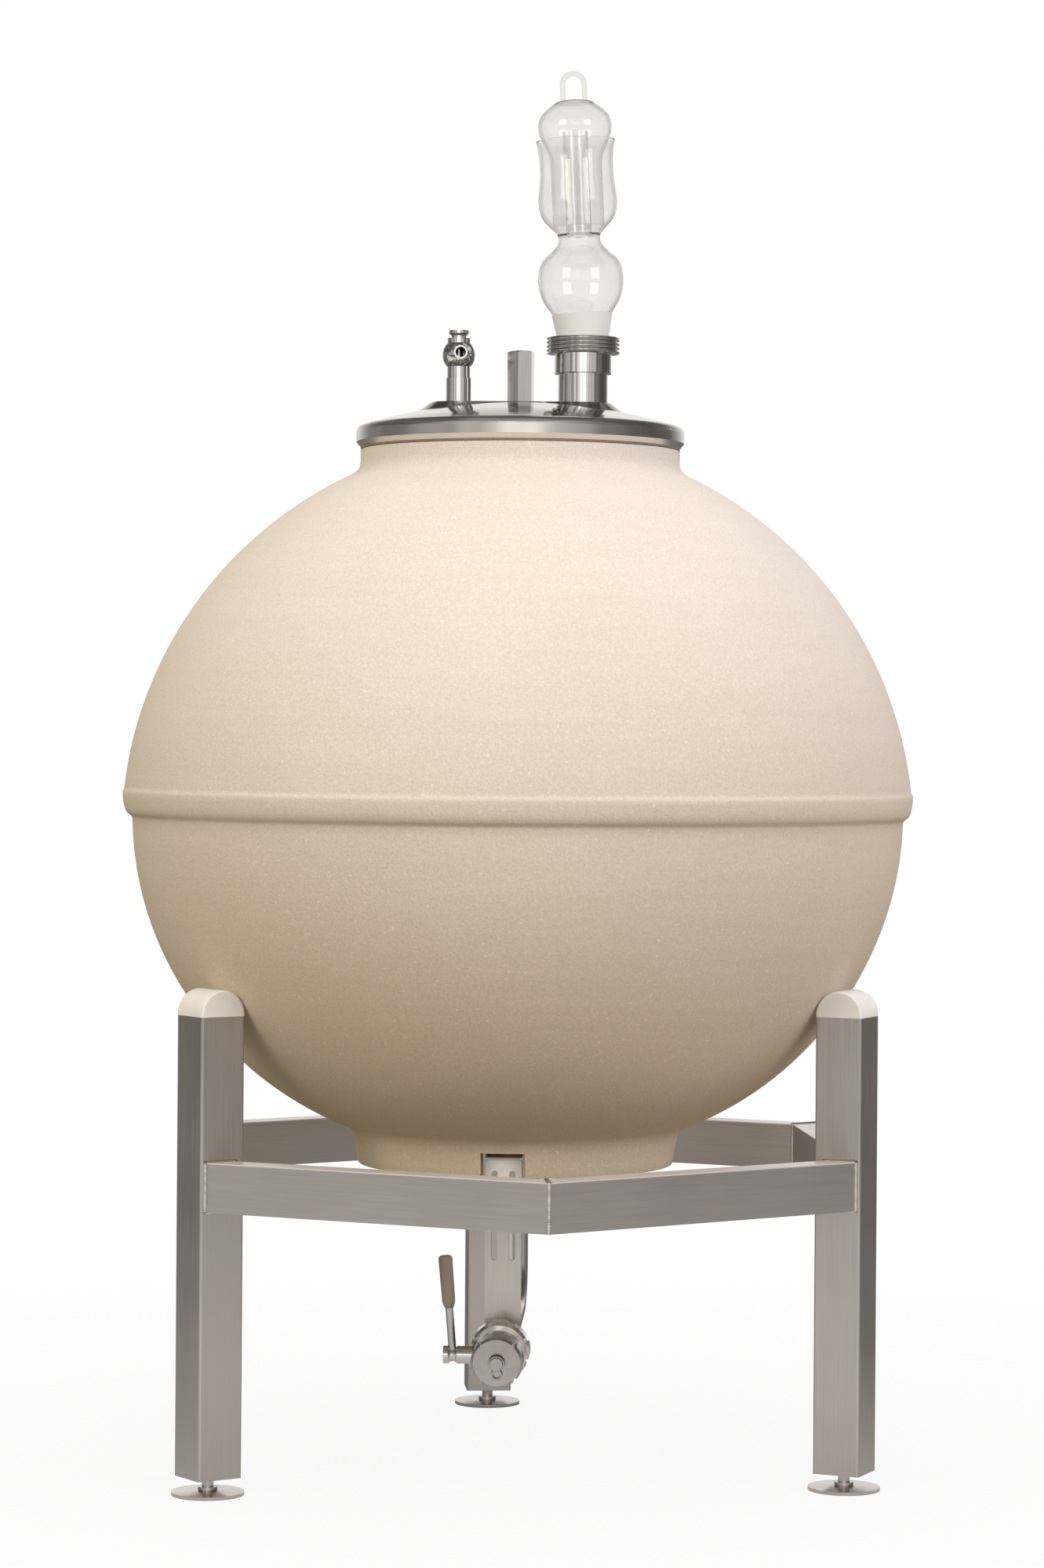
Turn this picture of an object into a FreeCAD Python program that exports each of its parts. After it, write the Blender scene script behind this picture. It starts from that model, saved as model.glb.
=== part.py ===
import FreeCAD, Part
import math
import os

V = FreeCAD.Vector
ORIGIN = V(0, 0, 0)
ALONG_X = V(1, 0, 0)
ALONG_Y = V(0, 1, 0)
UP = V(0, 0, 1)

# Stoneware ball: an upper and a lower half that meet at a raised belt
UPPER_BALL_R = 419.0
UPPER_BALL_Z = 666.0
LOWER_BALL_R = 357.7
LOWER_BALL_Z = 689.1
WALL = 19.0
BELT_LOW_Z = 680.0
BELT_LIP_Z = 707.0
BELT_TOP_Z = 711.0
BELT_PROUD = 1.9
BELT_UNDERCUT = 10.5
BELT_STEP = 5.5
BELT_STEP_HEIGHT = 4.5
BELT_HOLLOW = 0.35

# Neck and foot ring of the ball
NECK_R = 169.4
NECK_BORE_R = 148.0
NECK_RISE = 22.8
NECK_FILLET = 17.0
FOOT_Z = 316.2
FOOT_R = 166.4
FOOT_TAPER = 0.17
FOOT_WALL = 23.0
FOOT_FILLET = 15.0
BASE_Z = 345.0
BASE_WALL = 21.0
NOTCH_WIDTH = 45.0
NOTCH_HEIGHT = 25.8

# Stand: three square legs joined by a hexagon of rectangular tube
STAND_AZIMUTH = -4.67
LEG_INSET = 43.5
LEG_SIZE = 50.0
LEG_WALL = 3.0
LEG_CORNER_R = 2.5
LEG_BOTTOM_Z = 18.0
RING_INSET = 20.3
BEAM_WIDTH = 30.0
BEAM_HEIGHT = 50.0
BEAM_WALL = 2.5
RING_TOP_Z = 338.5
CAP_RIM = 1.5
CAP_PLUG_LENGTH = 30.0
CAP_PLUG_CLEARANCE = 0.2
CAP_EDGE = 2.0
BALL_SEAT_GAP = 0.3

# Levelling feet
FOOT_DISC_R = 37.0
FOOT_DISC_EDGE = 3.5
FOOT_DISC_HEIGHT = 5.5
FOOT_HUB_R = 10.0
FOOT_HUB_HEIGHT = 3.0
FOOT_ROD_R = 6.0
FOOT_ROD_LENGTH = 72.0
BUSH_HEIGHT = 12.0
THREAD_CLEARANCE = 0.05

# Lid: a dished pressing with a flanged rim and a raised flat for its fittings
SEAL_GAP = 0.1
GASKET_HEIGHT = 2.2
GASKET_WIDTH = 16.0
LID_SHEET = 3.0
LID_OVERHANG = 4.6
LID_LIP_FLARE = 4.3
LID_LIP_HEIGHT = 5.2
LID_RISE = 47.7
LID_DISH_R = 584.0
LID_EDGE_R = 8.0
LID_FLANGE_WIDTH = 20.0
FITTING_X = 66.0
PLATFORM_END_R = 30.5
PLATFORM_RISE = 0.3
PLATFORM_DEPTH = 14.0
PLATFORM_SLOPE = 1.35

# Clamp that holds the lid down: nut, tie rod and a bridge under the neck
NUT_ACROSS_FLATS = 26.0
NUT_LENGTH = 54.9
NUT_CHAMFER = 1.6
NUT_ROOF = 9.0
NUT_TURN = -18.8
SEAT_CLEARANCE = 0.2
NUT_BORE_R = 8.2
TIE_ROD_R = 6.8
TIE_ROD_SLACK = 3.0
ROD_HEAD_FLATS = 24.0
ROD_HEAD_HEIGHT = 10.0
ROD_HOLE_CLEARANCE = 1.0
BRIDGE_HALF_LENGTH = 170.0
BRIDGE_WIDTH = 50.0
BRIDGE_HEIGHT = 12.0
PAD_R = 12.0
PAD_HEIGHT = 14.3
PAD_INSET = 14.0

# Airlock nozzle on the lid
NOZZLE_R = 26.5
NOZZLE_WALL = 1.5
NOZZLE_HEIGHT = 31.4
COLLAR_R = 30.35
COLLAR_HEIGHT = 21.6
FERRULE_R = 39.0
FERRULE_HEIGHT = 16.7
MOUTH_R = 31.0
MOUTH_DEPTH = 6.0

# Relief valve on the lid
RELIEF_TUBE_R = 13.35
RELIEF_TUBE_WALL = 1.6
RELIEF_TUBE_HEIGHT = 26.2
RELIEF_BODY_R = 12.2
RELIEF_BODY_HEIGHT = 42.3
RELIEF_BALL_R = 17.5
RELIEF_BALL_RISE = 24.7
RELIEF_SEAT_R = 6.0
RELIEF_SEAT_RISE = 13.0
RELIEF_CHAMBER_R = 9.0
RELIEF_ROOF = 3.0
RELIEF_STEM_R = 3.0
RELIEF_POPPET_R = 8.2
RELIEF_POPPET_HEIGHT = 2.6
RELIEF_NECK_R = 8.0
RELIEF_NECK_HEIGHT = 2.7
RELIEF_KNOB_R = 10.65
RELIEF_KNOB_HEIGHT = 5.4
PORT_AZIMUTH = 173.0
PORT_RISE = 26.5
PORT_RIM_R = 7.25
PORT_BORE_R = 5.4
PORT_REACH = 18.8

# Stopper, water airlock and its bell; all three lean together in the nozzle
GLASS_LEAN = 2.6
STOPPER_PLUG_R = 23.75
STOPPER_PLUG_LENGTH = 22.3
STOPPER_SHOULDER_R = 26.4
STOPPER_SHOULDER_LIFT = 1.5
STOPPER_HEIGHT = 29.5
STOPPER_TOP_R = 32.25
GLASS_WALL = 2.2
GLASS_SEAT_CLEARANCE = 0.15
GLASS_OUTLINE = [
    (14.5, -22.0), (17.5, -1.0), (23.0, 15.0), (31.0, 29.8), (41.0, 45.5), (45.2, 68.0), (39.5, 88.0),
    (25.5, 101.5), (22.2, 112.0), (29.1, 122.0), (37.5, 131.5), (41.6, 145.0), (40.0, 168.0),
    (39.1, 193.0), (42.0, 214.0),
]
GLASS_WEB_RISE = 113.0
GLASS_WEB = 2.5
INNER_TUBE_R = 13.5
INNER_TUBE_TOP = 224.0
BELL_WALL = 2.0
BELL_SKIRT_R = 27.3
BELL_LIFT = 123.6
BELL_SKIRT_LENGTH = 68.0
BELL_OUTLINE = [(28.8, 76.0), (33.0, 86.0), (37.6, 96.0), (39.0, 106.0), (35.2, 118.5), (23.0, 129.0)]
BELL_HEIGHT = 133.0
LOOP_ROD_R = 2.8
LOOP_R = 11.5
LOOP_TOP = 165.0

# Drain: down pipe, elbow and a run that leaves under the front of the ball
DRAIN_AZIMUTH = 184.3
PIPE_R = 14.25
PIPE_WALL = 1.6
STUB_R = 17.0
STUB_LENGTH = 50.0
STUB_CLEARANCE = 0.1
DRAIN_FLANGE_R = 45.0
DRAIN_FLANGE_HEIGHT = 5.0
DRAIN_GASKET = 3.0
BASE_GASKET = 4.0
BASE_GASKET_R = 34.0
RING_NUT_FLATS = 55.0
RING_NUT_HEIGHT = 12.0
ELBOW_R = 45.0
RUN_TILT = 8.0
RUN_MARK_Z = 144.0

# Hanger that steadies the run
HANGER_WIDTH = 37.5
HANGER_SHEET = 4.0
HANGER_FRONT_R = 156.0
RUN_MARK_GAP = 24.0
HANGER_TOP_Z = 335.0
HANGER_BOTTOM_Z = 120.0
HANGER_CORNER_R = 4.0
LUG_BEND_R = 7.0
LUG_BOTTOM_Z = 278.0
SLOT_WIDTH = 6.5
SLOT_SPACING = 18.4
SLOT_TOP_Z = 323.5
SLOT_BOTTOM_Z = 231.6
BOLT_R = 3.0
BOLT_FLATS = 10.0
BOLT_HEAD = 4.0
BOLT_NUT = 5.0
BOLT_Z = 293.0

# Valve group, measured outward along the run from the mark
UNION_BACK = -8.0
UNION_LENGTH = 18.0
UNION_R = 30.2
UNION_SLOTS = 8
UNION_SLOT_WIDTH = 7.0
UNION_SLOT_DEPTH = 2.6
UNION_WEB = 5.0
COUPLING_R = 22.5
RUN_COLLAR_R = 20.0
RUN_COLLAR_LENGTH = 4.0
UNION_SEAL = 2.0
BODY_R = 25.0
BODY_LENGTH = 21.0
BODY_SPOUT_LENGTH = 9.0
STEM_OUT = 22.0
STEM_R = 4.0
DISC_CLEARANCE = 0.15
DISC_THICKNESS = 2.5
HUB_START = 26.2
HUB_LENGTH = 30.0
HUB_R = 9.0
HUB_RING = 5.0
HUB_GROOVE = 9.0
HUB_GROOVE_DEPTH = 2.2
LEVER_LENGTH = 103.0
LEVER_ROD_R = 4.0
LEVER_LEAN = 4.0
GRIP_LENGTH = 53.5
GRIP_R = 7.15
GRIP_LOWER_R = 6.7
GRIP_TOP_R = 2.5
GRIP_MOUTH_R = 4.6

# Blind cap on the valve's spout, with a wire link on its stud
CAP_R = 26.35
CAP_LENGTH = 18.5
CAP_FACE_R = 24.0
CAP_FACE_DISH = 1.6
CAP_SLOTS = 4
CAP_SLOT_WIDTH = 5.0
CAP_SLOT_DEPTH = 2.4
CAP_STUD_R = 5.0
CAP_STUD_LENGTH = 4.2
CAP_STUD_HEAD_R = 6.2
CAP_STUD_HEAD = 1.4
CAP_SEAL = 2.2
LINK_WIRE_R = 1.1
LINK_LOOP_R = 7.0
LINK_TAIL_R = 4.7

# Places that follow from the sizes above
belt_upper_r = math.sqrt(UPPER_BALL_R ** 2 - (BELT_TOP_Z - UPPER_BALL_Z) ** 2)
belt_lip_r = belt_upper_r + BELT_PROUD
lower_centre = (belt_lip_r - BELT_UNDERCUT - LOWER_BALL_R, LOWER_BALL_Z)
upper_centre = (0.0, UPPER_BALL_Z)
neck_top_z = UPPER_BALL_Z + math.sqrt(UPPER_BALL_R ** 2 - NECK_R ** 2) + NECK_RISE
floor_z = BASE_Z + BASE_WALL
leg_radius = belt_lip_r - LEG_INSET
ring_apothem = leg_radius - RING_INSET
half_leg = LEG_SIZE / 2
cap_z = LOWER_BALL_Z - math.sqrt(
    (LOWER_BALL_R + half_leg + BALL_SEAT_GAP) ** 2 - (leg_radius - lower_centre[0]) ** 2
)
leg_top_z = cap_z - CAP_RIM
lid_seat_z = neck_top_z + SEAL_GAP + GASKET_HEIGHT
lid_r = NECK_R + LID_OVERHANG
lid_crown_z = lid_seat_z + LID_RISE
platform_z = lid_crown_z + PLATFORM_RISE
nozzle_bore_r = NOZZLE_R - NOZZLE_WALL
ferrule_z = platform_z + NOZZLE_HEIGHT
ferrule_top_z = ferrule_z + COLLAR_HEIGHT + FERRULE_HEIGHT
mouth_floor_z = ferrule_top_z - MOUTH_DEPTH
relief_z = platform_z + RELIEF_TUBE_HEIGHT
pad_x = BRIDGE_HALF_LENGTH - PAD_INSET
bridge_top_z = UPPER_BALL_Z + math.sqrt((UPPER_BALL_R - WALL) ** 2 - pad_x ** 2) - PAD_HEIGHT
run_mark_r = HANGER_FRONT_R + RUN_MARK_GAP
pipe_bore_r = PIPE_R - PIPE_WALL
stub_bottom_z = floor_z + DRAIN_GASKET - STUB_LENGTH
lug_top_z = BASE_Z - BASE_GASKET
body_start = UNION_BACK + UNION_WEB + RUN_COLLAR_LENGTH + UNION_SEAL
body_wide_start = UNION_BACK + UNION_LENGTH + SEAT_CLEARANCE
spout_start = body_wide_start + BODY_LENGTH
spout_end = spout_start + BODY_SPOUT_LENGTH
cap_back = spout_start + 2 * SEAT_CLEARANCE
cap_front = cap_back + CAP_LENGTH


def at(point):
    """Point (r, z) of a section, in the plane that is turned about the Z axis."""
    return V(point[0], 0, point[1])


def turned(path):
    """Solid of revolution about Z. A step is a point (r, z), or a pair (middle, end) of an arc."""
    edges = []
    last = path[0]
    for step in path[1:] + path[:1]:
        if isinstance(step[0], tuple):
            middle, end = step
            edges.append(Part.Arc(at(last), at(middle), at(end)).toShape())
        else:
            end = step
            edges.append(Part.LineSegment(at(last), at(end)).toShape())
        last = end
    return spun(edges)


def spun(edges):
    """Solid of revolution about Z of one closed chain of edges."""
    return Part.Face(Part.Wire(edges)).revolve(ORIGIN, UP, 360)


def arc_middle(centre, start, end):
    """Middle point of the shorter arc from start to end about a centre."""
    half = ((start[0] + end[0]) / 2 - centre[0], (start[1] + end[1]) / 2 - centre[1])
    reach = math.dist(centre, start) / math.hypot(*half)
    return (centre[0] + half[0] * reach, centre[1] + half[1] * reach)


def wall_fillet(foot, direction, centre, ball_r, radius, side):
    """Fillet between a straight wall and the outside of a ball: its ends on the wall and the ball."""
    length = math.hypot(*direction)
    along = (direction[0] / length, direction[1] / length)
    normal = (along[1], -along[0])
    base = (foot[0] + normal[0] * radius, foot[1] + normal[1] * radius)
    away = (base[0] - centre[0], base[1] - centre[1])
    middle = away[0] * along[0] + away[1] * along[1]
    spread = math.sqrt(middle ** 2 - away[0] ** 2 - away[1] ** 2 + (ball_r + radius) ** 2)
    step = side * spread - middle
    pivot = (base[0] + along[0] * step, base[1] + along[1] * step)
    on_wall = (pivot[0] - normal[0] * radius, pivot[1] - normal[1] * radius)
    share = ball_r / (ball_r + radius)
    on_ball = tuple(c + (p - c) * share for c, p in zip(centre, pivot))
    return on_wall, arc_middle(pivot, on_wall, on_ball), on_ball


def ball_height(centre, radius, r, side):
    """Height at radius r of a section arc, above (side 1) or below (side -1) its centre."""
    return centre[1] + side * math.sqrt(radius ** 2 - (r - centre[0]) ** 2)


def rod(radius, low, high, x=0.0, y=0.0):
    """Upright cylinder from height low to high."""
    return Part.makeCylinder(radius, high - low, V(x, y, low), UP)


def block(x_low, x_high, y_low, y_high, z_low, z_high):
    """Box between two corners."""
    return Part.makeBox(x_high - x_low, y_high - y_low, z_high - z_low, V(x_low, y_low, z_low))


def hexagon(flats, low, high, start_angle=0.0):
    """Upright hexagonal prism with one corner at the start angle."""
    corner = flats / math.sqrt(3)
    points = []
    for side in range(7):
        angle = math.radians(start_angle + 60 * side)
        points.append(V(corner * math.cos(angle), corner * math.sin(angle), low))
    return Part.Face(Part.makePolygon(points)).extrude(V(0, 0, high - low))


def spaced_slots(count, radius, depth, width, low, high):
    """Spanner slots round a nut's edge, as one cutter."""
    cutters = []
    for index in range(count):
        slot = block(radius - depth, radius + depth, -width / 2, width / 2, low, high)
        slot.rotate(ORIGIN, UP, 360 * (index + 0.5) / count)
        cutters.append(slot)
    return Part.makeCompound(cutters)


def turn_to(shape, azimuth):
    """Turn a piece that was made on the +Y side to an azimuth, clockwise seen from above."""
    shape = shape.copy()
    shape.rotate(ORIGIN, UP, -azimuth)
    return shape


def to_drain(shape):
    """Turn a piece that was made on the -Y side to the drain's side."""
    return turn_to(shape, DRAIN_AZIMUTH - 180)


def to_run(shape):
    """Place a piece of the valve group: its Z lies outward along the run and its Y up."""
    shape = shape.copy()
    shape.rotate(ORIGIN, ALONG_X, 90 + RUN_TILT)
    shape.translate(V(0, -run_mark_r, RUN_MARK_Z))
    return to_drain(shape)


def lean(shape):
    """Move a piece of the glass group from the axis to the nozzle's mouth and lean it."""
    shape = shape.copy()
    shape.translate(V(FITTING_X, 0, mouth_floor_z + STOPPER_SHOULDER_LIFT))
    shape.rotate(V(FITTING_X, 0, mouth_floor_z), ALONG_Y, -GLASS_LEAN)
    return shape


def save(name, shape):
    shape.exportStep("parts/" + name + ".step")


def vessel():
    """Ball with belt, neck and foot ring, hollow inside, with a drain hole and a notch."""
    foot_rise = (FOOT_TAPER, 1.0)
    foot = wall_fillet((FOOT_R, FOOT_Z), foot_rise, lower_centre, LOWER_BALL_R, FOOT_FILLET, -1)
    neck = wall_fillet((NECK_R, neck_top_z), (0.0, 1.0), upper_centre, UPPER_BALL_R, NECK_FILLET, 1)
    lower_reach = math.sqrt(LOWER_BALL_R ** 2 - (BELT_LOW_Z - LOWER_BALL_Z) ** 2)
    belt_low = (lower_centre[0] + lower_reach, BELT_LOW_Z)
    belt_step = (belt_lip_r - BELT_STEP, BELT_LOW_Z + BELT_STEP_HEIGHT)
    belt_hollow = (
        belt_low[0] + (belt_step[0] - belt_low[0]) * BELT_HOLLOW,
        belt_step[1] - BELT_STEP_HEIGHT * BELT_HOLLOW,
    )
    belt_top = (belt_upper_r, BELT_TOP_Z)
    outside = turned([
        (0.0, BASE_Z),
        (FOOT_R - FOOT_WALL, BASE_Z),
        (FOOT_R - FOOT_WALL, FOOT_Z),
        (FOOT_R, FOOT_Z),
        foot[0],
        (foot[1], foot[2]),
        (arc_middle(lower_centre, foot[2], belt_low), belt_low),
        (belt_hollow, belt_step),
        (belt_lip_r, BELT_LIP_Z),
        belt_top,
        (arc_middle(upper_centre, belt_top, neck[2]), neck[2]),
        (neck[1], neck[0]),
        (NECK_R, neck_top_z),
        (0.0, neck_top_z),
    ])
    inner_lower = LOWER_BALL_R - WALL
    inner_upper = UPPER_BALL_R - WALL
    floor_r = lower_centre[0] + math.sqrt(inner_lower ** 2 - (LOWER_BALL_Z - floor_z) ** 2)
    waist = (lower_centre[0] + inner_lower, LOWER_BALL_Z)
    seam = (math.sqrt(inner_upper ** 2 - (BELT_TOP_Z - UPPER_BALL_Z) ** 2), BELT_TOP_Z)
    throat = (NECK_BORE_R, ball_height(upper_centre, inner_upper, NECK_BORE_R, 1))
    hollow = turned([
        (0.0, floor_z),
        (floor_r, floor_z),
        (arc_middle(lower_centre, (floor_r, floor_z), waist), waist),
        seam,
        (arc_middle(upper_centre, seam, throat), throat),
        (NECK_BORE_R, neck_top_z + WALL),
        (0.0, neck_top_z + WALL),
    ])
    drain_hole = rod(STUB_R + STUB_CLEARANCE, FOOT_Z, floor_z + WALL)
    notch = block(
        -NOTCH_WIDTH / 2, NOTCH_WIDTH / 2,
        -FOOT_R - 2 * FOOT_WALL, -FOOT_R + 1.5 * FOOT_WALL,
        FOOT_Z - WALL, FOOT_Z + NOTCH_HEIGHT,
    )
    return outside.cut(hollow).cut(drain_hole).cut(to_drain(notch))


def leg():
    """Square tube leg on the +Y side."""
    tube = block(
        -half_leg, half_leg, leg_radius - half_leg, leg_radius + half_leg, LEG_BOTTOM_Z, leg_top_z
    )
    upright = [e for e in tube.Edges if abs(e.tangentAt(e.FirstParameter).z) > 0.9]
    inner = half_leg - LEG_WALL
    bore = block(
        -inner, inner, leg_radius - inner, leg_radius + inner,
        LEG_BOTTOM_Z - LEG_WALL, leg_top_z + LEG_WALL,
    )
    return tube.makeFillet(LEG_CORNER_R, upright).cut(bore)


def leg_cap():
    """Plastic saddle on a leg: half a cylinder across the leg, a rim and a plug in the tube."""
    saddle = Part.makeCylinder(half_leg, LEG_SIZE, V(-half_leg, leg_radius, cap_z), ALONG_X)
    over = block(
        -half_leg, half_leg, leg_radius - half_leg, leg_radius + half_leg, leg_top_z, cap_z + half_leg
    )
    rim = block(
        -half_leg, half_leg, leg_radius - half_leg, leg_radius + half_leg, leg_top_z, cap_z
    )
    reach = half_leg - LEG_WALL - CAP_PLUG_CLEARANCE
    plug = block(
        -reach, reach, leg_radius - reach, leg_radius + reach, leg_top_z - CAP_PLUG_LENGTH, cap_z
    )
    cap = saddle.common(over).fuse(rim).fuse(plug).removeSplitter()
    crown = [e for e in cap.Edges if e.BoundBox.ZMax > cap_z + 1 and abs(e.BoundBox.XLength) < 0.01]
    return cap.makeFillet(CAP_EDGE, crown)


def leg_bush():
    """Threaded plate in the bottom end of a leg, for the levelling foot."""
    reach = half_leg - LEG_WALL
    plate = block(
        -reach, reach, leg_radius - reach, leg_radius + reach,
        LEG_BOTTOM_Z, LEG_BOTTOM_Z + BUSH_HEIGHT,
    )
    return plate.cut(rod(FOOT_ROD_R + THREAD_CLEARANCE, 0, LEG_BOTTOM_Z + 2 * BUSH_HEIGHT, 0, leg_radius))


def levelling_foot():
    """Round foot plate with a hub and a threaded rod."""
    hub_top = FOOT_DISC_HEIGHT + FOOT_HUB_HEIGHT
    foot = turned([
        (0.0, 0.0),
        (FOOT_DISC_R, 0.0),
        (FOOT_DISC_R, FOOT_DISC_EDGE),
        (FOOT_HUB_R, FOOT_DISC_HEIGHT),
        (FOOT_HUB_R, hub_top),
        (FOOT_ROD_R, hub_top),
        (FOOT_ROD_R, FOOT_ROD_LENGTH),
        (0.0, FOOT_ROD_LENGTH),
    ])
    foot.translate(V(0, leg_radius, 0))
    return foot


def beam_outline(outer, inner, leg_face, overrun):
    """Plan of a ring beam whose outer face looks along +Y, with a leg at its -X end."""
    lean_x = math.cos(math.radians(30))
    lean_y = math.sin(math.radians(30))
    mitre = math.tan(math.radians(30))
    corners = []
    for y in (outer, inner):
        corners.append(V((leg_face - lean_y * y) / lean_x, y, 0))
    for y in (inner, outer):
        corners.append(V(mitre * y + overrun, y, 0))
    return Part.Face(Part.makePolygon(corners + corners[:1]))


def ring_beam(index):
    """One side of the hexagon: square cut against its leg and mitred at its free corner."""
    inner = ring_apothem - BEAM_WIDTH
    bottom = RING_TOP_Z - BEAM_HEIGHT
    solid = beam_outline(ring_apothem, inner, half_leg, 0).extrude(V(0, 0, BEAM_HEIGHT))
    bore = beam_outline(ring_apothem - BEAM_WALL, inner + BEAM_WALL, half_leg - BEAM_WALL, BEAM_WALL)
    bore = bore.extrude(V(0, 0, BEAM_HEIGHT - 2 * BEAM_WALL))
    bore.translate(V(0, 0, BEAM_WALL))
    beam = solid.cut(bore)
    beam.translate(V(0, 0, bottom))
    if index % 2:
        beam = beam.mirror(ORIGIN, ALONG_X)
    return turn_to(beam, STAND_AZIMUTH + 60 * index + 30)


def stadium(end_r, z):
    """Outline with straight long sides and round ends about the two fittings."""
    right = V(FITTING_X + end_r, 0, z)
    left = V(-FITTING_X - end_r, 0, z)
    corners = [V(x, y, z) for x, y in (
        (-FITTING_X, end_r), (FITTING_X, end_r), (FITTING_X, -end_r), (-FITTING_X, -end_r)
    )]
    return Part.Wire([
        Part.LineSegment(corners[0], corners[1]).toShape(),
        Part.Arc(corners[1], right, corners[2]).toShape(),
        Part.LineSegment(corners[2], corners[3]).toShape(),
        Part.Arc(corners[3], left, corners[0]).toShape(),
    ])


def lid_form(sheet):
    """Lid's outer form, or the hollow under it where a sheet thickness is given."""
    dish = (0.0, lid_crown_z - LID_DISH_R)
    dish_r = LID_DISH_R - sheet
    band_r = lid_r - sheet
    pivot_r = lid_r - LID_EDGE_R
    pivot = (pivot_r, ball_height(dish, LID_DISH_R - LID_EDGE_R, pivot_r, 1))
    share = dish_r / (LID_DISH_R - LID_EDGE_R)
    on_dish = tuple(c + (p - c) * share for c, p in zip(dish, pivot))
    on_band = (band_r, pivot[1])
    crown = (0.0, lid_crown_z - sheet)
    edge = (arc_middle(pivot, on_band, on_dish), on_dish)
    roof = (arc_middle(dish, on_dish, crown), crown)
    lip_z = lid_seat_z + LID_LIP_HEIGHT
    if sheet:
        flange_r = lid_r - LID_LIP_FLARE - LID_FLANGE_WIDTH
        start = [
            (0.0, lid_seat_z - sheet),
            (flange_r, lid_seat_z - sheet),
            (flange_r, lid_seat_z + sheet),
            (band_r - LID_LIP_FLARE / 2, lid_seat_z + sheet),
            (band_r, lip_z + sheet / 2),
        ]
    else:
        start = [(0.0, lid_seat_z), (lid_r - LID_LIP_FLARE, lid_seat_z), (lid_r, lip_z)]
    dome = turned(start + [on_band, edge, roof])
    top = platform_z - sheet
    foot_r = PLATFORM_END_R + PLATFORM_DEPTH * PLATFORM_SLOPE
    flat = Part.makeLoft([stadium(PLATFORM_END_R, top), stadium(foot_r, top - PLATFORM_DEPTH)], True, True)
    return dome.fuse(flat)


def lid_shell():
    """Dished lid with its raised flat, bored for the two fittings and the tie rod."""
    shell = lid_form(0.0).cut(lid_form(LID_SHEET))
    low = lid_seat_z
    high = platform_z + LID_RISE
    bores = [
        rod(nozzle_bore_r, low, high, FITTING_X),
        rod(RELIEF_TUBE_R - RELIEF_TUBE_WALL, low, high, -FITTING_X),
        rod(TIE_ROD_R + ROD_HOLE_CLEARANCE, low, high),
    ]
    return shell.cut(Part.makeCompound(bores))


def ring(outer, inner, low, high):
    """Upright ring about the Z axis."""
    return turned([(inner, low), (outer, low), (outer, high), (inner, high)])


def moved_x(shape, x):
    shape = shape.copy()
    shape.translate(V(x, 0, 0))
    return shape


def threaded_ferrule():
    """Collar and threaded head of the nozzle, with a recess in its mouth."""
    collar_top = ferrule_z + COLLAR_HEIGHT
    ferrule = turned([
        (nozzle_bore_r, ferrule_z),
        (COLLAR_R, ferrule_z),
        (COLLAR_R, collar_top),
        (FERRULE_R, collar_top),
        (FERRULE_R, ferrule_top_z),
        (MOUTH_R, ferrule_top_z),
        (MOUTH_R, mouth_floor_z),
        (nozzle_bore_r, mouth_floor_z),
    ])
    return moved_x(ferrule, FITTING_X)


def relief_body():
    """Round valve body with a ball-shaped middle, a seat, a spring chamber and a side port."""
    top = relief_z + RELIEF_BODY_HEIGHT
    centre = (0.0, relief_z + RELIEF_BALL_RISE)
    waist = math.sqrt(RELIEF_BALL_R ** 2 - RELIEF_BODY_R ** 2)
    shell = turned([
        (0.0, relief_z),
        (RELIEF_BODY_R, relief_z),
        (RELIEF_BODY_R, centre[1] - waist),
        ((RELIEF_BALL_R, centre[1]), (RELIEF_BODY_R, centre[1] + waist)),
        (RELIEF_BODY_R, top),
        (0.0, top),
    ])
    port_z = relief_z + PORT_RISE
    rim = Part.makeCylinder(PORT_RIM_R, PORT_REACH, V(0, 0, port_z), ALONG_Y)
    bore = Part.makeCylinder(PORT_BORE_R, PORT_REACH * 2, V(0, 0, port_z), ALONG_Y)
    seat_z = relief_z + RELIEF_SEAT_RISE
    chamber = rod(RELIEF_CHAMBER_R, seat_z, top - RELIEF_ROOF)
    inlet = rod(RELIEF_SEAT_R, relief_z - RELIEF_ROOF, seat_z + RELIEF_ROOF)
    stem_hole = rod(RELIEF_STEM_R + THREAD_CLEARANCE, seat_z, top + RELIEF_ROOF)
    body = shell.fuse(turn_to(rim, PORT_AZIMUTH)).cut(turn_to(bore, PORT_AZIMUTH))
    body = body.cut(chamber).cut(inlet).cut(stem_hole)
    return moved_x(body, -FITTING_X)


def relief_poppet():
    """Poppet on its seat, with a stem through the roof and a flared knob on top."""
    seat_z = relief_z + RELIEF_SEAT_RISE + SEAT_CLEARANCE
    disc_z = seat_z + RELIEF_POPPET_HEIGHT
    neck_z = relief_z + RELIEF_BODY_HEIGHT + SEAT_CLEARANCE
    knob_z = neck_z + RELIEF_NECK_HEIGHT
    knob_top = knob_z + RELIEF_KNOB_HEIGHT
    poppet = turned([
        (0.0, seat_z),
        (RELIEF_POPPET_R, seat_z),
        (RELIEF_POPPET_R, disc_z),
        (RELIEF_STEM_R, disc_z),
        (RELIEF_STEM_R, neck_z),
        (RELIEF_NECK_R, neck_z),
        (RELIEF_NECK_R, knob_z),
        (RELIEF_KNOB_R, knob_z + 0.4 * RELIEF_KNOB_HEIGHT),
        (RELIEF_KNOB_R, knob_top),
        (0.0, knob_top),
    ])
    return moved_x(poppet, -FITTING_X)


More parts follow.
